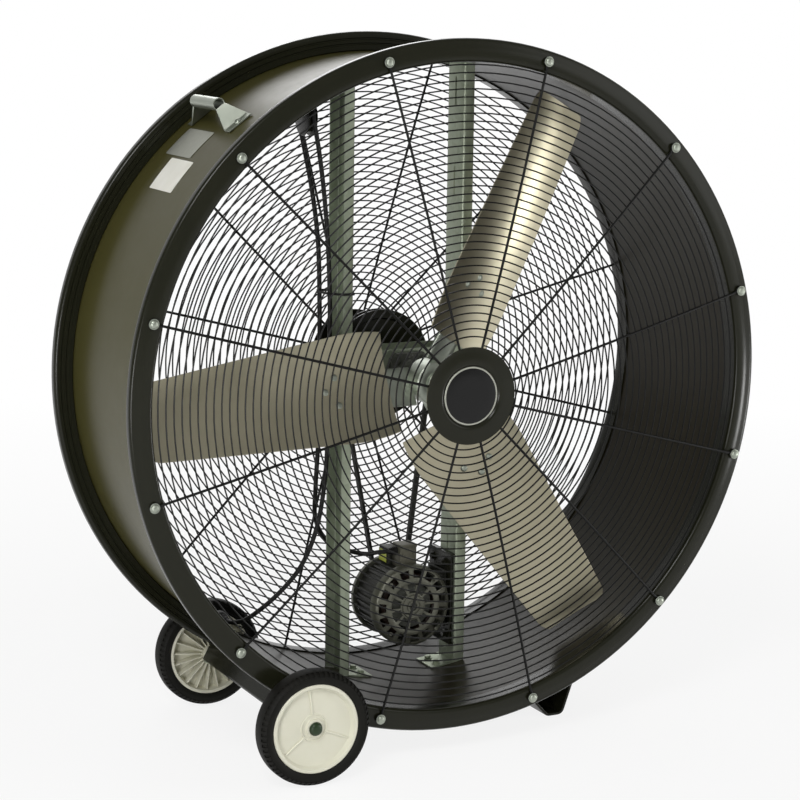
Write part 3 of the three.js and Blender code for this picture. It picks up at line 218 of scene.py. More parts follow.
def spun(section, steps, centre, turn=Matrix.Identity(4)):
    """A section of (radius, y) points, spun round an axis along Y through the centre."""
    draw([(centre[0], y, centre[2] + radius) for radius, y in section])
    bpy.ops.mesh.spin(steps=steps, angle=2 * math.pi, center=centre, axis=(0, 1, 0))
    welded().data.transform(turn)
    return bpy.context.object


def joined(*pieces):
    """Several objects as one."""
    bpy.ops.object.select_all(action="DESELECT")
    for piece in pieces:
        piece.select_set(True)
    bpy.context.view_layer.objects.active = pieces[0]
    if len(pieces) > 1:
        bpy.ops.object.join()
    return bpy.context.object


def finished(piece, name, paint, body, nodes=(), smooth=35):
    """Names a piece, paints it, sets its place in its mesh, and lets it ride on its body."""
    joined(piece)
    bpy.ops.object.transform_apply()
    bpy.ops.object.shade_smooth_by_angle(angle=math.radians(smooth))
    piece.name = name
    piece.data.name = name
    piece.data.materials.clear()
    piece.data.materials.append(paint)
    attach(piece, body)
    if nodes:
        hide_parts(*nodes)
    return piece


def to_mesh(curve):
    """Turns a curve into a mesh."""
    joined(curve)
    bpy.ops.object.convert(target="MESH")
    return bpy.context.object


def wire(points, radius, closed=False, sides=8):
    """A round wire through the points, as a mesh."""
    data = bpy.data.curves.new("wire", "CURVE")
    data.dimensions = "3D"
    data.bevel_depth = radius
    data.bevel_resolution = (sides - 4) // 2
    data.use_fill_caps = not closed
    line = data.splines.new("POLY")
    line.points.add(len(points) - 1)
    for point, place in zip(line.points, points):
        point.co = (*place, 1)
    line.use_cyclic_u = closed
    made = bpy.data.objects.new("wire", data)
    bpy.context.scene.collection.objects.link(made)
    return to_mesh(made)


def aimed(place, start, heading):
    """A turn from the start direction to the heading, and a move to the place."""
    turn = Vector(start).rotation_difference(Vector(heading)).to_matrix().to_4x4()
    return Matrix.Translation(place) @ turn


# Moulded rubber: black, soft sheen, with fine dust in its pores.
cord_rubber = surface(
    "moulded_black_rubber", ("#0b0b0b", "#1c1b19"), (0.38, 0.62),
    (14.0, 5.0), (900.0, 3.0, 0.25, 0.0003), IOR=1.52, Specular_IOR_Level=0.3,
)

CORD_ROUTE = [
    (-0.0246, 0.0393, 0.3383),
    (-0.0446, 0.0393, 0.3383),
    (-0.0620, 0.0520, 0.3340),
    (-0.0960, 0.0840, 0.3400),
    (-0.1300, 0.0980, 0.3620),
    (-0.1540, 0.0920, 0.4040),
    (-0.1600, 0.0800, 0.4700),
    (-0.1570, 0.0760, 0.5620),
    (-0.1560, 0.0750, 0.7000),
    (-0.1570, 0.0750, 0.8433),
    (-0.1620, 0.0740, 0.9601),
    (-0.1780, 0.0700, 1.0609),
    (-0.1960, 0.0670, 1.1406),
    (-0.2070, 0.0660, 1.1918),
    (-0.2070, 0.0570, 1.2198),
    (-0.2070, 0.0310, 1.2308),
    (-0.2070, 0.0050, 1.2198),
    (-0.2070, -0.0040, 1.1918),
    (-0.1940, 0.0030, 1.1406),
    (-0.1760, 0.0180, 1.0609),
    (-0.1610, 0.0300, 0.9601),
    (-0.1530, 0.0360, 0.8433),
    (-0.1520, 0.0380, 0.7000),
    (-0.1530, 0.0400, 0.5800),
    (-0.1590, 0.0420, 0.4800),
    (-0.1760, 0.0440, 0.3900),
    (-0.2058, 0.0480, 0.3225),
    (-0.2438, 0.0560, 0.2761),
    (-0.2840, 0.0660, 0.2401),
    (-0.3118, 0.0820, 0.2181),
    (-0.3273, 0.1020, 0.2111),
    (-0.3304, 0.1220, 0.2102),
]
CORD_RADIUS = 0.0045


def smooth_route(points, steps):
    """Points along one smooth curve through the given ones."""
    ends = [2 * points[0] - points[1], *points, 2 * points[-1] - points[-2]]
    route = []
    for before, start, end, after in zip(ends, ends[1:], ends[2:], ends[3:]):
        spans = [max((b - a).length, 1e-9) ** 0.5 for a, b in ((before, start), (start, end), (end, after))]
        leave = (end - start) + spans[1] * ((start - before) / spans[0] - (end - before) / (spans[0] + spans[1]))
        arrive = (end - start) + spans[1] * ((after - end) / spans[2] - (after - start) / (spans[1] + spans[2]))
        for step in range(steps):
            t = step / steps
            route.append(
                (2 * t**3 - 3 * t**2 + 1) * start
                + (t**3 - 2 * t**2 + t) * leave
                + (3 * t**2 - 2 * t**3) * end
                + (t**3 - t**2) * arrive
            )
    return [*route, points[-1]]


cord_line = smooth_route([Vector(point) for point in CORD_ROUTE], 10)
cord = finished(
    wire(cord_line, CORD_RADIUS, sides=12), "power_cord", cord_rubber, "frame", ["supply_cord"]
)

# The plug is moulded on the cord's end, with grip ribs, a flat face and three pins; the pins
# take the cord's rubber here, though on the real plug they are bare metal.
plug_turn = aimed(Vector(CORD_ROUTE[-1]), (0, 1, 0), (cord_line[-1] - cord_line[-4]).normalized())
PLUG_SECTION = [
    (0, 0.0003), (0.0064, 0.0003), (0.0068, 0.004), (0.0076, 0.0046), (0.0076, 0.0066), (0.0072, 0.0072),
    (0.0086, 0.0100), (0.0094, 0.0106), (0.0094, 0.0124), (0.0088, 0.0130), (0.0108, 0.0160), (0.0126, 0.0190),
    (0.0130, 0.0220), (0.0130, 0.0330), (0.0122, 0.0345), (0, 0.0345),
]
plug = spun(PLUG_SECTION, 40, (0, 0, 0), plug_turn)
PINS = ((-0.0063, 0, 0.0016, 0.0062), (0.0063, 0, 0.0016, 0.0062), (0, -0.0078, 0.0046, 0.0046))
PIN_MIDDLE, PIN_LENGTH = 0.0397, 0.0110
pins = []
for x, z, width, depth in PINS:
    bpy.ops.mesh.primitive_cube_add(size=1)
    pin = bpy.context.object
    shape = Matrix.Translation((x, PIN_MIDDLE, z)) @ Matrix.Diagonal((width, PIN_LENGTH, depth, 1))
    pin.data.transform(plug_turn @ shape)
    pins.append(pin)
plug = finished(joined(plug, *pins), "cord_plug", cord_rubber, "frame", ["plug"], 30)

GLAND_SECTION = [
    (0, -0.0024), (0.0090, -0.0024), (0.0090, -0.0070), (0.0076, -0.0078), (0.0084, -0.0092), (0.0084, -0.0106),
    (0.0070, -0.0114), (0.0076, -0.0128), (0.0076, -0.0142), (0.0062, -0.0150), (0.0067, -0.0164),
    (0.0067, -0.0178), (0.0057, -0.0186), (0.0055, -0.0240), (0, -0.0240),
]
gland_turn = Matrix.Translation((0, 0.0393, 0.3383)) @ Matrix.Rotation(math.radians(-90), 4, "Z")
gland = spun(GLAND_SECTION, 32, (0, 0, 0), gland_turn)
gland = finished(gland, "cord_gland", cord_rubber, "frame", ["cord_strain_relief"], 30)


# ---- Drum ---------------------------------------------------------------------------
# A long steel sheet rolled to a cylinder, lapped and spot-welded at the back, with a
# rolled rim pressed over each edge. All of it is powder coated: the rims a darker olive.
AXIS = Vector((0, 0, 0.7))
DRUM_RADIUS = 0.611
ROUND = 180


def modified(piece, kind, **settings):
    """Applies one modifier."""
    joined(piece)
    modifier = piece.modifiers.new(kind, kind)
    for setting, value in settings.items():
        setattr(modifier, setting, value)
    bpy.ops.object.modifier_apply(modifier=modifier.name)
    return piece


def arc(radius, y, size, start, end, steps):
    """Points of a section along an arc; 0 degrees points outwards and 90 to +Y."""
    angles = [math.radians(start + (end - start) * step / steps) for step in range(steps + 1)]
    return [(radius + size * math.cos(a), y + size * math.sin(a)) for a in angles]


# Powder coat on steel: a gloss skin over a fine orange peel, with faint dust and rubs. The
# inside is coloured darker than the wall outside: painted shade for the hollow of the drum.
drum_paint, tree, shader, place = new_material("powder_coated_steel", IOR=1.5, Specular_IOR_Level=0.12)
cloud = node(tree, "ShaderNodeTexNoise", {"Vector": place, "Scale": 2.2, "Detail": 5.0, "Roughness": 0.6})
outside = node(
    tree, "ShaderNodeMix", {0: cloud.outputs[0], 6: linear("#403d1e"), 7: linear("#484526")}, data_type="RGBA"
)
# The inside's darker colours are painted shade, standing in for the shade in the drum's hollow.
inside = node(
    tree, "ShaderNodeMix", {0: cloud.outputs[0], 6: linear("#1f1c11"), 7: linear("#2a2517")}, data_type="RGBA"
)
from_axis = node(tree, "ShaderNodeVectorMath", {0: place, 1: AXIS}, operation="SUBTRACT").outputs[0]
flat = node(tree, "ShaderNodeVectorMath", {0: from_axis, 1: (1, 0, 1)}, operation="MULTIPLY").outputs[0]
radius = node(tree, "ShaderNodeVectorMath", {0: flat}, operation="LENGTH").outputs["Value"]
side = node(
    tree,
    "ShaderNodeMapRange",
    {"Value": radius, "From Min": DRUM_RADIUS - 0.0005, "From Max": DRUM_RADIUS + 0.0005},
)
shade = node(
    tree,
    "ShaderNodeMix",
    {0: side.outputs[0], 6: inside.outputs[2], 7: outside.outputs[2]},
    data_type="RGBA",
)
rubs = node(tree, "ShaderNodeTexNoise", {"Vector": place, "Scale": 38.0, "Detail": 6.0, "Roughness": 0.7})
gloss = node(
    tree,
    "ShaderNodeMapRange",
    {"Value": rubs.outputs[0], "From Min": 0.35, "From Max": 0.75, "To Min": 0.28, "To Max": 0.33},
)
peel = node(tree, "ShaderNodeTexNoise", {"Vector": place, "Scale": 330.0, "Detail": 1.0})
relief = node(tree, "ShaderNodeBump", {"Height": peel.outputs[0], "Strength": 0.03, "Distance": 0.0001})
feed(tree, shader, {"Base Color": shade.outputs[2], "Roughness": gloss.outputs[0], "Normal": relief.outputs[0]})

# The rims got a darker powder coat with more gloss, so that light runs along their rolls.
rim_paint = surface(
    "powder_coated_rim", ("#16170f", "#1f1f14"), (0.16, 0.28),
    (6.0, 5.0, 0.6), (380.0, 1.0, 0.05, 0.0003), IOR=1.5, Specular_IOR_Level=0.2,
)

drum = spun([(DRUM_RADIUS, y) for y in (-0.214, -0.07, 0.07, 0.214)], ROUND, AXIS)
modified(drum, "SOLIDIFY", thickness=0.002, offset=0)
finished(drum, "rolled_drum", drum_paint, "frame", ["drum_shell"])

RIM_MIDDLE = [
    (0.60845, -0.1840), (0.60845, -0.2130), *arc(0.61545, -0.2170, 0.0070, 180, 270, 6),
    (0.6330, -0.2240), (0.6352, -0.2226), (0.6372, -0.2226), *arc(0.64300, -0.2140, 0.00575, 260, 360, 7),
    (0.64875, -0.2060), *arc(0.64275, -0.2052, 0.0060, 8, 90, 5), (0.6385, -0.1992), (0.6370, -0.2012),
    (0.6340, -0.2012), (0.6325, -0.1992), (0.6285, -0.1992), (0.6270, -0.2012), (0.6240, -0.2012),
    (0.6225, -0.1992), (0.6140, -0.1992),
]
for name, side, rim_node in (("front", 1, "front_rim"), ("rear", -1, "rear_rim")):
    rim = spun([(radius, side * y) for radius, y in RIM_MIDDLE], ROUND, AXIS)
    modified(rim, "SOLIDIFY", thickness=0.0025, offset=0, use_even_offset=True)
    finished(rim, f"{name}_rolled_rim", rim_paint, "frame", [rim_node], 40)


# ---- Guards -------------------------------------------------------------------------
# Each guard is one long steel wire wound in a close spiral and welded behind 12 heavier
# spokes, whose ends are bent to eyes for the bolts. It is dipped in a black coating.
BOLT_ANGLES = [15 + 30 * step for step in range(12)]
BOLT_CIRCLE = 0.629
EYE_Y = 0.22805
DOME = 0.026
DOME_RADIUS = 0.619
SPIRAL_START = 0.0955
SPIRAL_END = 0.604
SPIRAL_TURNS = 35
SPIRAL_STEPS = 108 * SPIRAL_TURNS
SPOKE_RADIUS = 0.0025
SPIRAL_RADIUS = 0.0015


def dome(radius):
    """How far a guard's spokes lie from the middle of the drum, at a radius."""
    return EYE_Y + DOME * (1 - min(radius / DOME_RADIUS, 1) ** 2)


def polar(radius, degrees, y):
    """A point at a radius and an angle round the fan's axis, seen from the front."""
    angle = math.radians(degrees)
    return Vector((radius * math.cos(angle), y, AXIS.z + radius * math.sin(angle)))


def round_axis(degrees):
    """A turn round the fan's axis, seen from the front."""
    return Matrix.Translation(AXIS) @ Matrix.Rotation(math.radians(-degrees), 4, "Y") @ Matrix.Translation(-AXIS)


def mirrored(piece, x, y):
    """Mirrors a piece's mesh across its own x or y, and keeps its faces outwards."""
    piece.data.transform(Matrix.Diagonal((x, y, 1, 1)))
    piece.data.flip_normals()
    return piece


def copy_of(piece):
    """A copy with its own mesh."""
    copy = piece.copy()
    copy.data = piece.data.copy()
    bpy.context.scene.collection.objects.link(copy)
    return copy


# Dipped black coating on wire: satin, a little uneven where it ran before it set.
wire_coat = surface(
    "dipped_black_coating", ("#060605", "#0c0c0a"), (0.3, 0.5),
    (60.0, 3.0), (60.0, 3.0, 0.3, 0.0006), IOR=1.5, Specular_IOR_Level=0.2,
)

spiral = []
for step in range(SPIRAL_STEPS + 1):
    share = step / SPIRAL_STEPS
    radius = SPIRAL_START + (SPIRAL_END - SPIRAL_START) * share
    behind = -dome(radius) + SPOKE_RADIUS + SPIRAL_RADIUS - 0.0003
    spiral.append(polar(radius, 75 - 360 * SPIRAL_TURNS * share, behind))
wires = [wire(spiral, SPIRAL_RADIUS, sides=6)]
for angle in BOLT_ANGLES:
    spoke = [polar(radius, angle, -dome(radius)) for radius in (0.081, 0.15, 0.24, 0.33, 0.42, 0.5, 0.57, 0.6145)]
    eye_centre = polar(BOLT_CIRCLE, angle, -EYE_Y)
    for step in range(13):
        offset = polar(0.0075, angle + 165 - step * 27.5, -EYE_Y) - AXIS
        spoke.append(Vector((eye_centre.x + offset.x, -EYE_Y, eye_centre.z + offset.z)))
    wires.append(wire(spoke, SPOKE_RADIUS, sides=8))
front_guard = joined(*wires)
rear_guard = mirrored(copy_of(front_guard), 1, -1)
finished(front_guard, "front_wire_guard", wire_coat, "frame", ["front_guard"], 50)
finished(rear_guard, "rear_wire_guard", wire_coat, "frame", ["rear_guard"], 50)

# A pressed steel plate covers the middle of each guard. The front one has a round bare
# badge of black foil in its dish, with a bright edge.
HUB_MIDDLE = [
    (0, -0.25542), (0.0540, -0.25542), *arc(0.0560, -0.25742, 0.0020, 90, 0, 3)[:3],
    (0.0592, -0.25860), (0.0615, -0.25925), (0.0640, -0.25942), (0.0680, -0.25930), (0.0730, -0.25890),
    (0.0800, -0.25810), (0.0870, -0.25750), (0.0912, -0.25742),
]
for name, side, hub_node in (("front", 1, "front_hub_plate"), ("rear", -1, "rear_hub_plate")):
    plate = spun([(radius, side * y) for radius, y in HUB_MIDDLE], 96, AXIS)
    modified(plate, "SOLIDIFY", thickness=0.002, offset=0)
    finished(plate, f"{name}_hub_cover", rim_paint, "frame", [hub_node], 50)

# Black foil: a smooth film with a faint grain.
badge_foil = surface(
    "black_foil", ("#0a0a0a", "#131313"), (0.16, 0.3), (240.0, 4.0), IOR=1.45, Specular_IOR_Level=0.3
)
badge_line = [(0, -0.2567), (0.0535, -0.2567), (0.0535, -0.2572), (0.0520, -0.2576), (0.0300, -0.2578), (0, -0.2579)]
finished(spun(badge_line, 96, AXIS), "bare_badge", badge_foil, "frame", ["hub_badge"])

# Bare aluminium foil: a soft grey shine, clouded by handling. A ring of it edges the badge.
bare_foil = surface("bare_aluminium_foil", ("#a1a297", "#b8b9af"), (0.42, 0.56), (120.0, 4.0), Metallic=1.0)
ring_line = [
    (0.0516, -0.2573), (0.0546, -0.2570), (0.0548, -0.2576), (0.0544, -0.2579), (0.0518, -0.2579), (0.0516, -0.2573),
]
finished(spun(ring_line, 96, AXIS), "badge_edge", bare_foil, "frame")

# Bright zinc plate: a cool shine with cloudy patches, over the fine grain of the steel.
bright_zinc = surface(
    "bright_zinc_plate", ("#8e958a", "#b0b4a8"), (0.28, 0.5), (34.0, 5.0), (700.0, 2.0, 0.15, 0.0003), Metallic=0.9
)

# Carriage bolts with a plain washer hold the guards to the rims.
BOLT_SECTION = [
    (0, -0.23685), (0.0026, -0.23665), (0.0050, -0.23600), (0.0068, -0.23480), (0.0078, -0.23320),
    (0.0080, -0.23230), (0.0080, -0.23215), (0.0093, -0.23205), (0.0095, -0.23180), (0.0095, -0.23110),
    (0.0093, -0.23085), (0.0040, -0.23085), (0.0040, -0.21920), (0.0036, -0.21880), (0, -0.21880),
]
first_bolt = spun(BOLT_SECTION, 24, (BOLT_CIRCLE, 0, AXIS.z))
rear_bolts = []
for index, angle in enumerate(BOLT_ANGLES):
    for side in (1, -1):
        bolt = copy_of(first_bolt)
        bolt.data.transform(round_axis(angle) @ Matrix.Diagonal((1, side, 1, 1)))
        if side > 0:
            bolt_node = f"guard_bolt_{index + 1:02d}"
            finished(bolt, f"front_bolt_{index + 1:02d}", bright_zinc, "frame", [bolt_node])
        else:
            bolt.data.flip_normals()
            rear_bolts.append(bolt)
finished(joined(*rear_bolts), "rear_bolts", bright_zinc, "frame")
bpy.data.objects.remove(first_bolt)


# ---- Posts --------------------------------------------------------------------------
# Two channels of galvanised steel stand in the drum and carry the fan's bearings. Each is
# pressed from 3 mm sheet, slotted at both ends, with welded tabs bolted to the drum.
def placed(place):
    """Moves every point of the piece at hand to the place that a function gives for it."""
    for vertex in bpy.context.object.data.vertices:
        vertex.co = place(vertex.co)


def sheet(points, depth, thickness, steps=1, place=None):
    """A bent sheet: a line of points, extruded by a depth, moved to its place and thickened about its middle."""
    draw(points)
    for _ in range(steps):
        bpy.ops.mesh.extrude_region_move(TRANSFORM_OT_translate={"value": [part / steps for part in depth]})
    made = welded()
    if place:
        placed(place)
    return modified(made, "SOLIDIFY", thickness=thickness, offset=0, use_even_offset=True)


def block(low, high, edge, steps=2):
    """A block between two corners, with rounded edges."""
    bpy.ops.object.select_all(action="DESELECT")
    middle = [(a + b) / 2 for a, b in zip(low, high)]
    bpy.ops.mesh.primitive_cube_add(size=1, location=middle, scale=[b - a for a, b in zip(low, high)])
    bpy.ops.object.transform_apply()
    bpy.ops.object.mode_set(mode="EDIT")
    bpy.ops.mesh.select_all(action="SELECT")
    bpy.ops.mesh.bevel(offset=edge, segments=steps, affect="EDGES")
    bpy.ops.object.mode_set(mode="OBJECT")
    return bpy.context.object


def cut_by(piece, cutter):
    """Cuts one piece out of another."""
    modified(piece, "BOOLEAN", operation="DIFFERENCE", object=cutter, solver="EXACT")
    bpy.data.objects.remove(cutter)
    return piece


def rod(radius, start, end, sides=24):
    """A round bar from one point to another."""
    start, end = Vector(start), Vector(end)
    bpy.ops.object.select_all(action="DESELECT")
    turn = Vector((0, 0, 1)).rotation_difference(end - start)
    bpy.ops.mesh.primitive_cylinder_add(
        vertices=sides, radius=radius, depth=(end - start).length, location=(start + end) / 2,
        rotation=turn.to_euler(),
    )
    bpy.ops.object.transform_apply()
    return bpy.context.object


WASHER = 0.0016


def hex_bolt(place, heading, size=0.0085, washer=True):
    """The head of a hexagon bolt with its washer; it rises from the place along the heading."""
    low = WASHER if washer else 0
    bpy.ops.object.select_all(action="DESELECT")
    height = size * 0.75
    bpy.ops.mesh.primitive_cylinder_add(vertices=6, radius=size, depth=height, location=(0, 0, low + height / 2))
    bpy.ops.object.transform_apply()
    bpy.ops.object.mode_set(mode="EDIT")
    bpy.ops.mesh.select_all(action="SELECT")
    bpy.ops.mesh.bevel(offset=size * 0.09, segments=1, affect="EDGES")
    bpy.ops.object.mode_set(mode="OBJECT")
    parts = [bpy.context.object]
    if washer:
        middle = (0, 0, WASHER / 2)
        bpy.ops.mesh.primitive_cylinder_add(vertices=20, radius=size * 1.35, depth=WASHER, location=middle)
        bpy.ops.object.transform_apply()
        parts.append(bpy.context.object)
    bolt = joined(*parts)
    bolt.data.transform(aimed(place, (0, 0, 1), heading))
    return bolt


# Galvanised sheet: grey-green zinc with a soft spangle, dulled by air and dust.
zinc, tree, shader, place = new_material("galvanised_sheet", Metallic=0.75)
spangle = node(tree, "ShaderNodeTexVoronoi", {"Vector": place, "Scale": 95.0})
age = node(tree, "ShaderNodeTexNoise", {"Vector": place, "Scale": 9.0, "Detail": 6.0, "Roughness": 0.65})
bright = node(tree, "ShaderNodeMix", {0: 0.45, 2: age.outputs[0], 3: spangle.outputs["Color"]})
shade = node(
    tree, "ShaderNodeMix", {0: bright.outputs[0], 6: linear("#838c79"), 7: linear("#b3bba7")}, data_type="RGBA"
)
gloss = node(tree, "ShaderNodeMapRange", {"Value": bright.outputs[0], "To Min": 0.34, "To Max": 0.56})
relief = node(tree, "ShaderNodeBump", {"Height": age.outputs[0], "Strength": 0.2, "Distance": 0.0005})
feed(tree, shader, {"Base Color": shade.outputs[2], "Roughness": gloss.outputs[0], "Normal": relief.outputs[0]})

POST_WEB = 0.1165
POST_TIP = 0.137
POST_FRONT = 0.0105
POST_REAR = 0.0775
WALL = 0.6095
BEND = 0.005
TAB_RADIUS = 0.608
TAB_INSIDE = 0.606
TAB_BOLT_X = 0.084
SLOT_X = (0.11, 0.123)
bend_x = POST_WEB + BEND
quarter = [(BEND * math.sin(angle), BEND * math.cos(angle)) for angle in (0, 0.52, 1.05, 1.57)]
for name, side in (("right", 1), ("left", -1)):
    section = [
        (POST_TIP, POST_FRONT),
        *[(bend_x - sine, POST_FRONT + BEND - cosine) for sine, cosine in quarter],
        *[(bend_x - cosine, POST_REAR - BEND + sine) for sine, cosine in quarter],
        (POST_TIP, POST_REAR),
    ]
    post = sheet([(x, y, 0.1) for x, y in section], (0, 0, 1.2), 0.003, 2)
    for vertex in post.data.vertices:
        if abs(vertex.co.z - AXIS.z) > 0.3:
            end = math.copysign(math.sqrt(WALL**2 - vertex.co.x**2), vertex.co.z - AXIS.z)
            vertex.co.z = AXIS.z + end
    slots = []
    for centre in (-0.540, -0.368, 0.368, 0.540):
        for end in (-0.026, 0.026):
            z = AXIS.z + centre + end
            slots.append(rod(0.003, (SLOT_X[0], 0.044, z), (SLOT_X[1], 0.044, z), 16))
        z = AXIS.z + centre
        slots.append(block((SLOT_X[0], 0.041, z - 0.026), (SLOT_X[1], 0.047, z + 0.026), 0.0001, 1))
    for slot_cutter in slots:
        cut_by(post, slot_cutter)
    parts = [post]
    for end in (1, -1):
        angles = [math.acos(x / TAB_RADIUS) for x in (0.066, 0.0785, 0.091, 0.1035, POST_WEB)]
        tab = [(TAB_RADIUS * math.cos(a), 0.0095, AXIS.z + end * TAB_RADIUS * math.sin(a)) for a in angles]
        parts.append(sheet(tab, (0, 0.069, 0), 0.003))
        for y in (0.026, 0.062):
            lean = math.acos(TAB_BOLT_X / TAB_INSIDE)
            heading = Vector((-math.cos(lean), 0, -end * math.sin(lean)))
            seat = Vector((TAB_BOLT_X, y, AXIS.z + end * (TAB_INSIDE + 0.0006) * math.sin(lean)))
            parts.append(hex_bolt(seat, heading, 0.0065))
    post = joined(*parts)
    if side < 0:
        mirrored(post, -1, 1)
    finished(post, f"{name}_slotted_post", zinc, "frame", [f"{name}_post"], 30)

# Cast iron: a dull dark grey that shows the grain of the sand it was cast in.
cast_iron = surface(
    "cast_iron", ("#3a3c37", "#54554d"), (0.42, 0.66), (22.0, 4.0), (260.0, 5.0, 0.5, 0.0006, 0.7), Metallic=0.35
)

# A flat plate bolted across both posts, before and behind them, carries each bearing: a
# cast flange with a turned housing, four bolts and a grease nipple.
for name, side, near in (("front", -1, 0.0087), ("rear", 1, 0.0793)):
    far = near + side * 0.003
    plate = block((-0.137, min(near, far), 0.652), (0.137, max(near, far), 0.748), 0.0006, 1)
    cut_by(plate, rod(0.019, (0, near - 0.01, 0.7), (0, near + 0.01, 0.7), 32))
    parts = [plate]
    for x in (-0.1265, 0.1265):
        for z in (0.667, 0.733):
            parts.append(hex_bolt(Vector((x, far, z)), (0, side, 0), 0.0075))
    finished(joined(*parts), f"{name}_cross_plate", zinc, "frame", [f"{name}_bearing_plate"], 30)

    seat = far + side * 0.0003
    face = seat + side * 0.011
    flange = block((-0.042, min(seat, face), 0.658), (0.042, max(seat, face), 0.742), 0.0025, 2)
    for x in (-1, 1):
        for z in (-1, 1):
            corner = block((0.036, seat - 0.02, -0.02), (0.076, seat + 0.02, 0.02), 0.0001, 1)
            turn = Matrix.Translation(AXIS) @ Matrix.Rotation(-math.atan2(z, x), 4, "Y")
            corner.data.transform(turn @ Matrix.Translation((0.0145, 0, 0)))
            cut_by(flange, corner)
    housing_line = [
        (0.0153, 0), (0.0305, 0), (0.0335, 0.0095), (0.0315, 0.0115), (0.0310, 0.0262), (0.0295, 0.0287),
        (0.0255, 0.0290), (0.0250, 0.0275), (0.0190, 0.0275), (0.0185, 0.0290), (0.0160, 0.0290), (0.0153, 0.0283),
        (0.0153, 0),
    ]
    parts = [flange, spun([(radius, seat + side * y) for radius, y in housing_line], 40, AXIS)]
    cut_by(flange, rod(0.0153, (0, seat - 0.02, 0.7), (0, seat + 0.02, 0.7), 32))
    for x in (-0.029, 0.029):
        for z in (0.671, 0.729):
            parts.append(hex_bolt(Vector((x, face, z)), (0, side, 0), 0.0062))
    parts.append(rod(0.0022, (0, seat + side * 0.02, 0.730), (0, seat + side * 0.02, 0.7385), 12))
    finished(joined(*parts), f"{name}_flange_bearing", cast_iron, "frame", [f"{name}_bearing"], 35)


# ---- Fan ----------------------------------------------------------------------------
# Three blades pressed from aluminium sheet are riveted to the arms of a zinc-plated
# spider, which is keyed to a turned steel shaft.
BLADE_ANGLES = (60.5, 180.5, 300.5)
BLADE_Y = -0.102
ROOT, TIP = 0.088, 0.588
ROOT_PITCH, TIP_PITCH = math.radians(28), math.radians(17)


def blade_widths(share):
    """How far a blade's front and rear edges lie from its pitch line, at a share of its length."""
    drawn_in = 0.014 * max(1 - share / 0.2, 0) ** 2 + 0.010 * max((share - 1) / 0.04 + 1, 0) ** 2
    return 0.105 - drawn_in, 0.121 - 0.083 * share - drawn_in


def on_blade(radius, across, height):
    """A point on a blade along +X: its radius, its place across the blade, its height over the front face."""
    share = max((radius - ROOT) / (TIP - ROOT), 0)
    pitch = ROOT_PITCH + (TIP_PITCH - ROOT_PITCH) * share
    front, rear = blade_widths(share)
    rise = height - 0.28 * (front + across) * (rear - across) / (front + rear)
    y = BLADE_Y + across * math.sin(pitch) - rise * math.cos(pitch)
    return Vector((radius, y, AXIS.z - across * math.cos(pitch) - rise * math.sin(pitch)))


def turned_to(piece, degrees):
    """Turns a piece that lies along +X to an angle round the fan's axis, seen from the front."""
    piece.data.transform(round_axis(degrees))
    return piece


# Mill-finished aluminium sheet: rolled along the blade, dulled and filmed with fine dust.
blade_metal = surface(
    "mill_finish_aluminium", ("#a29c84", "#c1bba5"), (0.25, 0.36),
    (7.0, 7.0, 0.6), (420.0, 3.0, 0.12, 0.0003), Metallic=0.9,
)

bpy.ops.object.select_all(action="DESELECT")
bpy.ops.mesh.primitive_grid_add(x_subdivisions=48, y_subdivisions=14, size=1)
blade = bpy.context.object
for vertex in blade.data.vertices:
    along = vertex.co.x + 0.5
    along = along if along < 0.5 else 1 - (1 - along) ** 1.6 * 0.5**-0.6
    front, rear = blade_widths(along)
    across = (vertex.co.y + 0.5) * rear + (vertex.co.y - 0.5) * front
    tip = math.sqrt(TIP**2 - (across * math.cos(TIP_PITCH)) ** 2)
    vertex.co = on_blade(ROOT + (tip - ROOT) * along, across, 0.001)
modified(blade, "SOLIDIFY", thickness=0.002, offset=0, use_even_offset=True)
modified(blade, "BEVEL", width=0.0004, segments=1, limit_method="ANGLE")

bpy.ops.mesh.primitive_grid_add(x_subdivisions=16, y_subdivisions=6, size=1)
arm = bpy.context.object
for vertex in arm.data.vertices:
    radius = 0.036 + 0.200 * (vertex.co.x + 0.5)
    narrow = 1 - 0.45 * max(vertex.co.x - 0.32, 0) / 0.18
    vertex.co = on_blade(radius, vertex.co.y * 0.076 * narrow, -0.0033)
modified(arm, "SOLIDIFY", thickness=0.006, offset=0, use_even_offset=True)
modified(arm, "BEVEL", width=0.0015, segments=2, limit_method="ANGLE")

RIVETS = ((0.219, 0), (0.196, -0.027), (0.196, 0.027))
RIVET_HEAD = [(0, 0.0030), (0.0028, 0.0028), (0.0052, 0.0021), (0.0067, 0.0009), (0.0070, 0), (0, 0)]
heads = []
for radius, across in RIVETS:
    foot = on_blade(radius, across, 0.002)
    heading = on_blade(radius, across, 0.012) - foot
    head = spun([(size, -height) for size, height in RIVET_HEAD], 20, (0, 0, 0))
    head.data.transform(aimed(foot, (0, -1, 0), heading))
    heads.append(head)
rivet_group = joined(*heads)

hub_line = [
    (0.0153, -0.0350), (0.0240, -0.0350), (0.0260, -0.0330), (0.0260, -0.0230), (0.0400, -0.0200), (0.0420, -0.0180),
    (0.0420, 0.0330), (0.0400, 0.0350), (0.0153, 0.0350), (0.0153, -0.0350),
]
spider_parts = [spun([(radius, BLADE_Y + y) for radius, y in hub_line], 48, AXIS)]
rivets = []
for index, angle in enumerate(BLADE_ANGLES):
    piece = turned_to(copy_of(blade), angle)
    blade_node = f"fan_blade_{index + 1}"
    finished(piece, f"pressed_blade_{index + 1}", blade_metal, "fan_rotor", [blade_node], 40)
    spider_parts.append(turned_to(copy_of(arm), angle))
    rivets.append(turned_to(copy_of(rivet_group), angle))
for spare in (blade, arm, rivet_group):
    bpy.data.objects.remove(spare)
finished(joined(*spider_parts), "plated_spider", bright_zinc, "fan_rotor", ["blade_spider"], 35)
finished(joined(*rivets), "blade_rivets", bright_zinc, "fan_rotor")

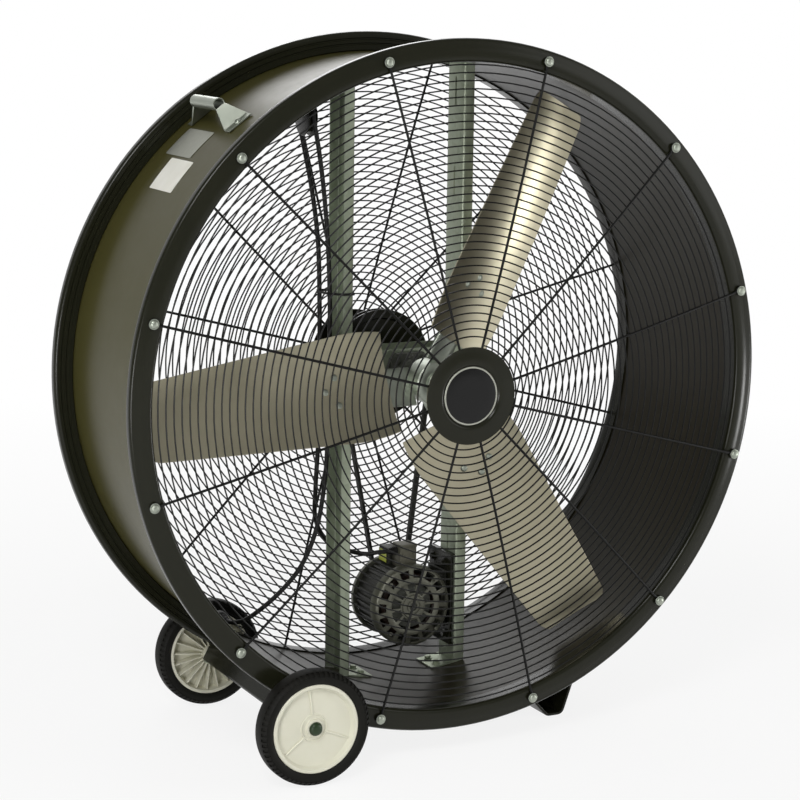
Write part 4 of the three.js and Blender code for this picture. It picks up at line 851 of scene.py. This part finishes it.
# Turned steel: bright, with fine tool marks round the bar.
turned_steel = surface("turned_steel", ("#7f817a", "#adafa6"), (0.22, 0.42), (180.0, 4.0), Metallic=1.0)
shaft_line = [(0, -0.149), (0.0135, -0.149), (0.015, -0.1475), (0.015, 0.154), (0.0135, 0.1555), (0, 0.1555)]
finished(spun(shaft_line, 40, AXIS), "turned_shaft", turned_steel, "fan_rotor", ["fan_shaft"], 30)


# ---- Belt drive ---------------------------------------------------------------------
# A V-belt runs from a small pulley on the motor's shaft to a large one behind the fan.
BELT_Y = 0.137
MOTOR = Vector((0.016, 0, AXIS.z - 0.468))
LARGE, SMALL = 0.108, 0.035
PULLEY_HALF = 0.0105


def pulley(radius, bore, hub, centre, sides):
    """A pulley with a V-groove for the belt, and a web between its hub and its rim if it has a hub."""
    floor_radius = radius - 0.0105
    half = [(bore, PULLEY_HALF)]
    if hub:
        half += [
            (hub - 0.002, PULLEY_HALF), (hub, PULLEY_HALF - 0.002), (hub + 0.002, 0.004),
            (floor_radius - 0.009, 0.004), (floor_radius - 0.006, PULLEY_HALF - 0.001),
        ]
    half += [(radius - 0.001, PULLEY_HALF), (radius, PULLEY_HALF - 0.0008), (radius, 0.0069), (floor_radius, 0.0045)]
    line = half + [(size, -y) for size, y in reversed(half)] + [half[0]]
    return spun([(size, BELT_Y + y) for size, y in line], sides, centre)


large_pulley = pulley(LARGE, 0.0153, 0.030, AXIS, 72)
finished(large_pulley, "large_pulley", rim_paint, "fan_rotor", ["driven_pulley"], 30)
small_pulley = pulley(SMALL, 0.0083, 0, MOTOR, 40)
finished(small_pulley, "small_pulley", cast_iron, "motor_rotor_body", ["drive_pulley"], 30)

# Wrapped rubber: matt black, with a cloth's weave in its skin and paler worn patches.
belt_rubber, tree, shader, place = new_material("wrapped_belt_rubber", IOR=1.5)
weave = node(tree, "ShaderNodeTexVoronoi", {"Vector": place, "Scale": 600.0})
wear = node(tree, "ShaderNodeTexNoise", {"Vector": place, "Scale": 30.0, "Detail": 5.0})
shade = node(
    tree, "ShaderNodeMix", {0: wear.outputs[0], 6: linear("#141410"), 7: linear("#262620")}, data_type="RGBA"
)
gloss = node(tree, "ShaderNodeMapRange", {"Value": wear.outputs[0], "To Min": 0.55, "To Max": 0.8})
relief = node(tree, "ShaderNodeBump", {"Height": weave.outputs[0], "Strength": 0.35, "Distance": 0.0004})
feed(tree, shader, {"Base Color": shade.outputs[2], "Roughness": gloss.outputs[0], "Normal": relief.outputs[0]})

line_angle = math.atan2(MOTOR.z - AXIS.z, MOTOR.x)
lean = math.acos((LARGE - SMALL) / math.hypot(MOTOR.x, MOTOR.z - AXIS.z))
belt_start = line_angle + lean
BELT_SECTION = [
    (0, 0.0064), (0, -0.0064), (-0.0008, -0.0065), (-0.0080, -0.0042), (-0.0080, 0.0042), (-0.0008, 0.0065),
    (0, 0.0064),
]
outwards = Vector((math.cos(belt_start), 0, math.sin(belt_start)))
draw([AXIS + outwards * (LARGE + depth) + Vector((0, BELT_Y + y, 0)) for depth, y in BELT_SECTION])
bpy.ops.mesh.remove_doubles(threshold=1e-6)
around = 2 * math.pi - 2 * lean
bpy.ops.mesh.spin(steps=64, angle=-around, center=AXIS, axis=(0, 1, 0))
far_way = Vector((math.cos(belt_start + around), 0, math.sin(belt_start + around)))
run = MOTOR - AXIS + far_way * (SMALL - LARGE)
bpy.ops.mesh.extrude_region_move(TRANSFORM_OT_translate={"value": run})
bpy.ops.mesh.spin(steps=20, angle=-2 * lean, center=MOTOR, axis=(0, 1, 0))
run = AXIS - MOTOR + outwards * (LARGE - SMALL)
bpy.ops.mesh.extrude_region_move(TRANSFORM_OT_translate={"value": run})
finished(welded(), "v_belt", belt_rubber, "frame", ["drive_belt"], 30)


# ---- Motor --------------------------------------------------------------------------
# An open, drip-proof motor: a finned frame between two cast bells, whose faces have two
# rings of vents between thin ribs. Its feet are bolted to a bent plate on the right post.
# Enamel on a rough casting: dark, with a low gloss and a thin film of dust.
motor_paint = surface(
    "painted_casting", ("#1e1f1a", "#2f2f29"), (0.3, 0.55),
    (26.0, 6.0, 0.65), (300.0, 4.0, 0.35, 0.0005), IOR=1.5, Specular_IOR_Level=0.25,
)


def chosen(piece, centre, pick):
    """Selects the faces that a test picks by their distance from an axis along Y, their depth on it, their
    angle round it and how far they face round it, and stays in edit mode."""
    joined(piece)
    bpy.ops.object.mode_set(mode="EDIT")
    bpy.ops.mesh.select_all(action="DESELECT")
    bpy.ops.object.mode_set(mode="OBJECT")
    for face in piece.data.polygons:
        x, y, z = face.center - centre
        radius = math.hypot(x, z)
        around = face.normal.dot(Vector((-z, 0, x)) / radius)
        face.select = pick(radius, y, math.degrees(math.atan2(z, x)) % 360, around)
    bpy.ops.object.mode_set(mode="EDIT")
    bpy.ops.mesh.select_mode(type="FACE")


RIB_DEGREES = 8


def bell(face_y, rim_y):
    """An end bell: a dished disc with two rings of vents, and a turned boss for the bearing."""
    side = math.copysign(1, rim_y - face_y)
    line = [
        (0.0150, 0.0010), (0.0220, 0.0010), (0.0235, 0.0035), (0.0270, 0.0040), (0.0475, 0.0040), (0.0500, 0.0028),
        (0.0560, 0.0024), (0.0580, 0.0036), (0.0745, 0.0042), (0.0785, 0.0060), (0.0805, 0.0090),
        (0.0807, abs(rim_y - face_y)), (0.0740, abs(rim_y - face_y)),
    ]
    dish = spun([(radius, face_y + side * y) for radius, y in line], 90, MOTOR)
    for low, high, shift, pitch in ((0.027, 0.0475, 0, 36), (0.058, 0.0745, 8, 24)):
        chosen(dish, MOTOR, lambda radius, y, angle, _: low < radius < high and (angle + shift) % pitch > RIB_DEGREES)
        bpy.ops.mesh.delete(type="FACE")
        bpy.ops.object.mode_set(mode="OBJECT")
    modified(dish, "SOLIDIFY", thickness=0.003, offset=0, use_even_offset=True)
    boss_line = [
        (0.0085, 0.0002), (0.0120, 0.0002), (0.0125, 0.0020), (0.0165, 0.0020), (0.0170, 0.0060),
        (0.0170, abs(rim_y - face_y)), (0.0085, abs(rim_y - face_y)), (0.0085, 0.0002),
    ]
    boss = spun([(radius, face_y + side * y) for radius, y in boss_line], 32, MOTOR)
    bolts = []
    for angle in (45, 135, 225, 315):
        around_axis = Vector((math.cos(math.radians(angle)), 0, math.sin(math.radians(angle)))) * 0.0705
        seat = MOTOR + around_axis + Vector((0, face_y + side * 0.0015, 0))
        bolts.append(hex_bolt(seat, (0, -side, 0), 0.0042, False))
    return joined(dish, boss, *bolts)


# The bells are bare aluminium castings, dulled and filmed with belt dust.
bell_metal = surface(
    "cast_aluminium", ("#4e4e43", "#7a7a6e"), (0.34, 0.52), (40.0, 6.0, 0.65), (280.0, 4.0, 0.4, 0.0006), Metallic=0.6
)

finished(bell(-0.005, 0.0207), "motor_front_end", bell_metal, "frame", ["motor_front_bell"], 35)
finished(bell(0.1193, 0.1033), "motor_rear_end", bell_metal, "frame", ["motor_rear_bell"], 35)

BODY_STEPS = 108
body_line = [
    (0.0700, 0.0212), (0.0735, 0.0212), (0.0735, 0.0260), (0.0735, 0.0980), (0.0735, 0.1028), (0.0700, 0.1028),
]
body = spun(body_line, BODY_STEPS, MOTOR)


def on_fin(radius, y, angle, _):
    """Whether a face of the body carries a fin: every third one does."""
    return radius > 0.073 and 0.03 < y < 0.09 and int(angle / (360 / BODY_STEPS)) % 3 == 0


chosen(body, MOTOR, on_fin)
bpy.ops.mesh.extrude_region_shrink_fatten(TRANSFORM_OT_shrink_fatten={"value": 0.0035})
bpy.ops.object.mode_set(mode="OBJECT")
feet = []
for y in (0.030, 0.080):
    foot_rib = block((0.078, y, MOTOR.z - 0.052), (MOTOR.x + 0.0886, y + 0.014, MOTOR.z + 0.052), 0.0015, 1)
    feet.append(foot_rib)
feet.append(block((0.0985, 0.026, MOTOR.z - 0.058), (0.1049, 0.098, MOTOR.z + 0.058), 0.0015, 1))
core = spun([(0.0480, 0.031), (0.0700, 0.031), (0.0700, 0.093), (0.0480, 0.093), (0.0480, 0.031)], 48, MOTOR)
finished(joined(body, *feet, core), "motor_body", motor_paint, "frame", ["motor_frame"], 35)

# The copper windings' ends fill the bells behind the vents. Their brown varnish is glossy,
# and the turns of wire under it make it rough.
varnish = surface(
    "varnished_copper_winding", ("#0c0704", "#2a180d"), 0.45,
    (320.0, 3.0), (320.0, 3.0, 0.8, 0.001), IOR=1.52, Specular_IOR_Level=0.3,
)
coils = []
for low, high in ((0.0125, 0.0305), (0.0935, 0.1080)):
    middle = (low + high) / 2
    front, rear = low + 0.002, high - 0.002
    coil_line = [
        (0.0500, middle), (0.0515, front), (0.0550, low), (0.0600, low), (0.0650, front), (0.0665, middle),
        (0.0650, rear), (0.0600, high), (0.0550, high), (0.0515, rear), (0.0500, middle),
    ]
    coils.append(spun(coil_line, 48, MOTOR))
finished(joined(*coils), "motor_windings", varnish, "frame", (), 60)

rotor_line = [
    (0, -0.0030), (0.0070, -0.0030), (0.0080, -0.0020), (0.0080, 0.0060), (0.0230, 0.0080), (0.0440, 0.0080),
    (0.0440, 0.0100), (0.0455, 0.0110), (0.0455, 0.0970), (0.0080, 0.0990), (0.0080, 0.1508), (0.0070, 0.1515),
    (0, 0.1515),
]
finished(spun(rotor_line, 40, MOTOR), "motor_core", cast_iron, "motor_rotor_body", ["motor_rotor"], 30)

plate_line = [
    (0.1147, 0.325), (0.1100, 0.325), (0.1078, 0.3242), (0.1070, 0.322), (0.1070, 0.142), (0.1078, 0.1398),
    (0.1100, 0.139), (0.1147, 0.139),
]
motor_base = sheet([(x, 0.011, z) for x, z in plate_line], (0, 0.092, 0), 0.0032)
base_parts = [motor_base]
for z in (0.158, 0.306):
    for y in (0.031, 0.086):
        base_parts.append(hex_bolt(Vector((0.1054, y, z)), (-1, 0, 0), 0.0068))
finished(joined(*base_parts), "motor_base_plate", rim_paint, "frame", ["motor_plate"], 30)

# The wiring box is folded from galvanised sheet, with a lipped lid and two screws.
box_parts = [
    block((-0.002, 0.0213, 0.3059), (0.034, 0.0573, 0.3500), 0.0012),
    block((-0.0012, 0.0205, 0.3460), (0.0350, 0.0573, 0.3522), 0.0010),
]
for x in (0.004, 0.028):
    box_parts.append(hex_bolt(Vector((x, 0.0206, 0.3330)), (0, -1, 0), 0.0026, False))
# Older galvanised sheet: a dull warm grey with darker handled patches.
aged_zinc = surface("aged_galvanised_sheet", ("#4b4a40", "#6b695b"), (0.42, 0.6), (60.0, 6.0, 0.65), Metallic=0.5)
finished(joined(*box_parts), "wiring_box", aged_zinc, "frame", ["terminal_box"], 30)

# The capacitor stands behind it under a pressed cover. A strip of film is stuck on the
# side towards the left post: a clear yellow-green with a low gloss.
cover = block((-0.012, 0.0578, 0.3023), (0.044, 0.1006, 0.3383), 0.0060, 4)
finished(cover, "capacitor_housing", motor_paint, "frame", ["capacitor_cover"], 30)
film_paint = surface("yellow_green_film", ("#8f961c", "#c3cb35"), 0.45, (70.0, 6.0), IOR=1.46)
strip = block((-0.0127, 0.0630, 0.3085), (-0.0119, 0.0960, 0.3325), 0.0003, 1)
finished(strip, "bare_film_strip", film_paint, "frame")


# ---- Wheels -------------------------------------------------------------------------
# Two solid rubber tyres with low zig-zag lugs on moulded off-white wheels. They turn on
# one axle held in a plate on each rim; a pushed-on cap keeps each wheel in place.
AXLE = Vector((-0.315962, 0, 0.1085))

# Solid tyre rubber: matt black, greyed by the floor's dust in its pores.
tyre_rubber = surface(
    "solid_tyre_rubber", ("#0b0b09", "#1a1915"), (0.48, 0.72),
    (24.0, 6.0, 0.65), (500.0, 3.0, 0.3, 0.0004), IOR=1.5, Specular_IOR_Level=0.15,
)

# Moulded polypropylene: off-white and waxy, with a faint grain from the mould.
wheel_plastic = surface(
    "moulded_polypropylene", ("#cfcdb9", "#dbd9ca"), (0.34, 0.5),
    (18.0, 6.0, 0.6), (420.0, 2.0, 0.12, 0.0003), IOR=1.49,
)

TYRE_LINE = [
    (0.0844, -0.2770), (0.0880, -0.2800), (0.0940, -0.2822), (0.0990, -0.2814), (0.1032, -0.2785), (0.1060, -0.2735),
    (0.1068, -0.2690), (0.1070, -0.2640), (0.1070, -0.2605), (0.1070, -0.2570), (0.1068, -0.2520), (0.1060, -0.2475),
    (0.1032, -0.2425), (0.0990, -0.2396), (0.0940, -0.2388), (0.0880, -0.2410), (0.0844, -0.2440),
]
TYRE_STEPS = 128
TYRE_MIDDLE = -0.2605
tyre = spun([*TYRE_LINE, TYRE_LINE[0]], TYRE_STEPS, AXLE)
for rise, raised in ((0.0015, True), (-0.0018, False)):

    def on_tread(radius, y, angle, around):
        """Whether a face of the tread lies on a lug, or between two; both sides' lugs alternate."""
        lug = (int(angle / (360 / TYRE_STEPS)) + (0 if y < TYRE_MIDDLE else 1)) % 2 == 0
        return 0.1005 < radius < 0.1072 and abs(around) < 0.5 and lug == raised

    chosen(tyre, AXLE, on_tread)
    bpy.ops.mesh.extrude_region_shrink_fatten(TRANSFORM_OT_shrink_fatten={"value": rise})
    bpy.ops.object.mode_set(mode="OBJECT")

wheel_line = [
    (0.0083, -0.2745), (0.0160, -0.2745), (0.0170, -0.2735), (0.0170, -0.2695), (0.0180, -0.2684), (0.0235, -0.2684),
    (0.0242, -0.2700), (0.0262, -0.2700), (0.0268, -0.2684), (0.0690, -0.2684), (0.0725, -0.2690), (0.0760, -0.2750),
    (0.0772, -0.2783), (0.0790, -0.2792), (0.0825, -0.2790), (0.0840, -0.2775), (0.0840, -0.2440), (0.0800, -0.2430),
    (0.0780, -0.2440), (0.0760, -0.2600), (0.0745, -0.2640), (0.0300, -0.2640), (0.0230, -0.2620), (0.0170, -0.2560),
    (0.0170, -0.2300), (0.0083, -0.2300), (0.0083, -0.2745),
]
wheel_parts = [spun(wheel_line, 96, AXLE)]
RIB_ANGLES = (98, 218, 338)
INNER_RIBS = 20
for angle in RIB_ANGLES:
    rib = block((0.0262, -0.2712, -0.0016), (0.0745, -0.2660, 0.0016), 0.0006, 1)
    rib.data.transform(Matrix.Translation(AXLE) @ Matrix.Rotation(math.radians(-angle), 4, "Y"))
    wheel_parts.append(rib)
for step in range(INNER_RIBS):
    rib = block((0.0165, -0.2645, -0.0009), (0.0765, -0.2465, 0.0009), 0.0004, 1)
    for vertex in rib.data.vertices:
        if vertex.co.x < 0.04 and vertex.co.y > -0.255:
            vertex.co.y = -0.2405
    angle = RIB_ANGLES[-1] + step * 360 / INNER_RIBS
    rib.data.transform(Matrix.Translation(AXLE) @ Matrix.Rotation(math.radians(-angle), 4, "Y"))
    wheel_parts.append(rib)
wheel = joined(*wheel_parts)
for name, side in (("front", 1), ("rear", -1)):
    for what, source, paint, slot_name, cad in (
        ("tyre_tread", tyre, tyre_rubber, "tyre_rubber", "tyre"),
        ("wheel_disc", wheel, wheel_plastic, "wheel_plastic", "wheel_rim"),
    ):
        piece = copy_of(source)
        if side < 0:
            mirrored(piece, 1, -1)
        finished(piece, f"{name}_{what}", paint, f"{name}_wheel", [f"{name}_{cad}"], 35)
bpy.data.objects.remove(tyre)
bpy.data.objects.remove(wheel)

# Dark green enamel on the pushed-on caps: smooth, with a fairly high gloss.
cap_paint = surface(
    "painted_cap", ("#12240e", "#22381a"), (0.25, 0.45), (90.0, 5.0), IOR=1.5, Specular_IOR_Level=0.4
)
cap_line = [
    (0, -0.2830), (0.0050, -0.2828), (0.0090, -0.2816), (0.0115, -0.2794), (0.0122, -0.2772), (0.0130, -0.2765),
    (0.0130, -0.2750), (0, -0.2750),
]
for name, side in (("front", 1), ("rear", -1)):
    cap = spun([(radius, side * y) for radius, y in cap_line], 32, AXLE)
    finished(cap, f"{name}_hub_cap", cap_paint, "frame", [f"{name}_axle_cap"], 40)
axle_line = [(0, -0.2745), (0.0080, -0.2745), (0.0080, 0.2745), (0, 0.2745)]
finished(spun(axle_line, 24, AXLE), "wheel_axle", turned_steel, "frame", ["axle"], 30)

AXLE_ANGLE = math.atan2(AXLE.z - AXIS.z, AXLE.x)
AXLE_DISTANCE = math.hypot(AXLE.x, AXLE.z - AXIS.z)
towards_axle = Matrix.Translation(AXIS) @ Matrix.Rotation(-AXLE_ANGLE, 4, "Y")
for name, side in (("front", -1), ("rear", 1)):
    near, far = side * 0.22555, side * 0.22955
    plate = block((0.620, min(near, far), -0.022), (AXLE_DISTANCE + 0.020, max(near, far), 0.022), 0.0010, 1)
    for vertex in plate.data.vertices:
        share = max(vertex.co.x - AXLE_DISTANCE, 0) / 0.020
        vertex.co.z *= 1 - 0.45 * share
        if vertex.co.x < 0.63:
            vertex.co.z *= 0.75
    plate.data.transform(towards_axle)
    parts = [cut_by(plate, rod(0.0083, AXLE + Vector((0, near * 1.1, 0)), AXLE + Vector((0, near * 0.9, 0))))]
    for across in (-0.0085, 0.0085):
        spot = towards_axle @ Vector((0.6300, far, across))
        parts.append(hex_bolt(spot, (0, side, 0), 0.0048))
    finished(joined(*parts), f"{name}_axle_holder", zinc, "frame", [f"{name}_axle_plate"], 30)

# A channel of sheet steel round the axle stiffens the drum from rim to rim.
def bent(points, radius, steps=5):
    """A line of (a, b) points with its inner corners rounded by about a radius."""
    line = [Vector(point) for point in points]
    route = [line[0]]
    for before, corner, after in zip(line, line[1:], line[2:]):
        back, on = (before - corner).normalized(), (after - corner).normalized()
        turn = math.pi - back.angle(on)
        reach = radius * math.tan(turn / 2)
        for step in range(steps + 1):
            t = step / steps
            route.append(corner + back * reach * (1 - t) ** 2 + on * reach * t**2)
    return [tuple(point) for point in [*route, line[-1]]]


channel_line = bent([(0.6503, -0.0175), (0.6858, -0.0175), (0.6858, 0.0175), (0.6503, 0.0175)], 0.004)
channel = sheet([(x, -0.2250, z) for x, z in channel_line], (0, 0.450, 0), 0.003, 4)
channel.data.transform(towards_axle)
finished(channel, "axle_stiffener", rim_paint, "frame", ["axle_channel"], 30)


# ---- Foot ---------------------------------------------------------------------------
# A steel strap bent to a V holds the fan upright opposite its wheels. Its two tabs are
# bolted to the drum, and its flat bottom rests on the floor.
def on_wall(radius, degrees):
    """The (x, z) of a point at a radius and an angle round the fan's axis."""
    place = polar(radius, degrees, 0)
    return place.x, place.z


FOOT_DIRECTION = math.degrees(math.atan2(-0.700, 0.290))
FOOT_SEAT = 0.6150
inner_tab = [on_wall(FOOT_SEAT, FOOT_DIRECTION + angle) for angle in (-9.5, -8.5, -7.5, -6.5, -5.9)]
outer_tab = [on_wall(FOOT_SEAT, FOOT_DIRECTION + angle) for angle in (15.9, 16.5, 17.5, 18.5, 19.5)]
bottom = bent([inner_tab[-1], (0.273, 0.0025), (0.307, 0.0025), outer_tab[0]], 0.014, 6)
foot_line = [*inner_tab[:-1], *bottom, *outer_tab[1:]]
foot = sheet([(x, -0.098, z) for x, z in foot_line], (0, 0.196, 0), 0.005, 2)
modified(foot, "BEVEL", width=0.0008, segments=2, limit_method="ANGLE", angle_limit=math.radians(50))
foot_parts = [foot]
for angle in (-7.9, 17.9):
    outward = polar(1, FOOT_DIRECTION + angle, 0) - AXIS
    for y in (-0.07, 0.07):
        foot_parts.append(hex_bolt(AXIS + outward * (FOOT_SEAT + 0.0025) + Vector((0, y, 0)), outward, 0.0075))
finished(joined(*foot_parts), "bent_foot", rim_paint, "frame", ["foot"], 35)


# ---- Handle -------------------------------------------------------------------------
# A tube rolled from bright plated sheet is spot-welded to two flared legs, which splay
# out to shoes bolted to the drum's wall.
HANDLE_TURN = Matrix.Translation(AXIS) @ Matrix.Rotation(math.radians(-126.8), 4, "Y")
GRIP = Vector((0.653, 0, 0))
grip_line = [
    (0.0098, 0.0085), (0.0104, 0.0080), (0.0114, 0.0080), (0.0120, 0.0088), (0.0120, 0.1252), (0.0114, 0.1260),
    (0.0104, 0.1260), (0.0098, 0.1255), (0.0098, 0.0085),
]
grip = spun(grip_line, 48, GRIP)
handle_parts = [grip]
for side, end in ((-1, 0.0100), (1, 0.1240)):
    leg_line = bent([(0.6490, end), (0.6142, end + side * 0.0260), (0.6142, end + side * 0.0470)], 0.004, 4)

    def flared(point):
        """Widens a leg from its tube down to its shoe."""
        up = min(max((point.x - 0.6160) / 0.0330, 0), 1)
        return Vector((point.x, point.y, point.z * (0.027 + (0.0105 - 0.027) * up)))

    leg = sheet([(x, y, -1) for x, y in leg_line], (0, 0, 2), 0.003, 6, flared)
    modified(leg, "BEVEL", width=0.0006, segments=1, limit_method="ANGLE", angle_limit=math.radians(50))
    handle_parts.append(leg)
    head_line = [(0, 0.0050), (0.0030, 0.0047), (0.0052, 0.0034), (0.0063, 0.0014), (0.0065, 0), (0, 0)]
    head = spun([(radius, -height) for radius, height in head_line], 20, (0, 0, 0))
    head.data.transform(aimed((0.6157, 0.067 + side * 0.093, 0), (0, -1, 0), (1, 0, 0)))
    handle_parts.append(head)
handle = joined(*handle_parts)
handle.data.transform(HANDLE_TURN)
finished(handle, "lifting_handle", bright_zinc, "frame", ["handle"], 35)


# ---- Bare plates --------------------------------------------------------------------
# Behind the handle a foil plate and a white film label, both left bare, are stuck to the
# drum's wall and follow its curve.
PLATE_RADIUS = 0.6127


def stuck(name, angles, front, rear, corner, paint, cad):
    """A thin plate with rounded corners, wrapped round the drum's wall."""
    arc_length = math.radians(angles[1] - angles[0]) * PLATE_RADIUS
    bpy.ops.object.select_all(action="DESELECT")
    middle = math.radians((angles[0] + angles[1]) / 2)
    bpy.ops.mesh.primitive_plane_add(size=1)
    bpy.ops.transform.resize(value=(arc_length, rear - front, 1))
    bpy.ops.object.transform_apply()
    bpy.ops.object.mode_set(mode="EDIT")
    bpy.ops.mesh.select_mode(type="VERT")
    bpy.ops.mesh.select_all(action="SELECT")
    bpy.ops.mesh.bevel(offset=corner, segments=5, affect="VERTICES")
    for cut in range(1, 9):
        bpy.ops.mesh.select_all(action="SELECT")
        bpy.ops.mesh.bisect(plane_co=((cut / 9 - 0.5) * arc_length, 0, 0), plane_no=(1, 0, 0))
    bpy.ops.object.mode_set(mode="OBJECT")

    def wrapped(point):
        """A point of the flat plate, on the drum's wall."""
        return polar(PLATE_RADIUS, math.degrees(middle + point.x / PLATE_RADIUS), (front + rear) / 2 + point.y)

    placed(wrapped)
    plate = modified(bpy.context.object, "SOLIDIFY", thickness=0.0007, offset=0)
    bpy.ops.object.mode_set(mode="EDIT")
    bpy.ops.mesh.select_all(action="SELECT")
    bpy.ops.mesh.normals_make_consistent(inside=False)
    bpy.ops.object.mode_set(mode="OBJECT")
    return finished(plate, name, paint, "frame", [cad], 30)


stuck("bare_foil_plate", (129.9, 136.2), 0.026, 0.150, 0.004, bare_foil, "rating_plate")

# White vinyl film: an even, soft white.
label_film = surface("white_film_label", ("#e2e0d4", "#f2f1ea"), 0.5, (30.0, 6.0), IOR=1.46)
stuck("bare_white_label", (136.8, 143.4), -0.006, 0.104, 0.003, label_film, "blank_label")


# ---- Cord hook and ties -------------------------------------------------------------
# The spare cord hangs over a moulded saddle on a strap bolted inside the drum's top.
# Three nylon ties hold both runs of the cord to the left post.
saddle_line = [
    (0, -0.0090), (0.0320, -0.0090), (0.0345, -0.0083), (0.0350, -0.0072), (0.0330, -0.0058), (0.0308, -0.0044),
    (0.0302, 0), (0.0308, 0.0044), (0.0330, 0.0058), (0.0350, 0.0072), (0.0345, 0.0083), (0.0320, 0.0090),
    (0, 0.0090),
]
saddle = spun(saddle_line, 48, (0, 0, 0))
saddle.data.transform(Matrix.Translation((-0.207, 0.031, 1.1958)) @ Matrix.Rotation(math.radians(-90), 4, "Z"))
strap_line = bent([(-0.1963, 1.1860), (-0.1963, 1.2740), (-0.1760, 1.2812)], 0.004)
strap = sheet([(x, 0.019, z) for x, z in strap_line], (0, 0.024, 0), 0.0035)
hook_bolt = hex_bolt(Vector((-0.1850, 0.031, 1.2762)), (-0.33, 0, -0.94), 0.006)
pivot = hex_bolt(Vector((-0.1945, 0.031, 1.1958)), (1, 0, 0), 0.006)
finished(joined(saddle, strap, hook_bolt, pivot), "hook_for_cord", rim_paint, "frame", ["cord_hook"], 35)

ties = []
TIE_LINE = [
    (-0.1260, 0.0810), (-0.1135, 0.0810), (-0.1135, 0.0068), (-0.1385, 0.0068), (-0.1590, 0.0350), (-0.1640, 0.0700),
    (-0.1600, 0.0822), (-0.1260, 0.0810),
]
for z in (0.575, 0.700, 0.860):
    tie = sheet([(x, y, z - 0.0024) for x, y in bent(TIE_LINE, 0.004)], (0, 0, 0.0048), 0.0013)
    lock = block((-0.133, 0.0800, z - 0.0040), (-0.125, 0.0865, z + 0.0040), 0.0010, 1)
    ties.extend([tie, lock])
finished(joined(*ties), "nylon_ties", cord_rubber, "frame", (), 35)

low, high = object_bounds()
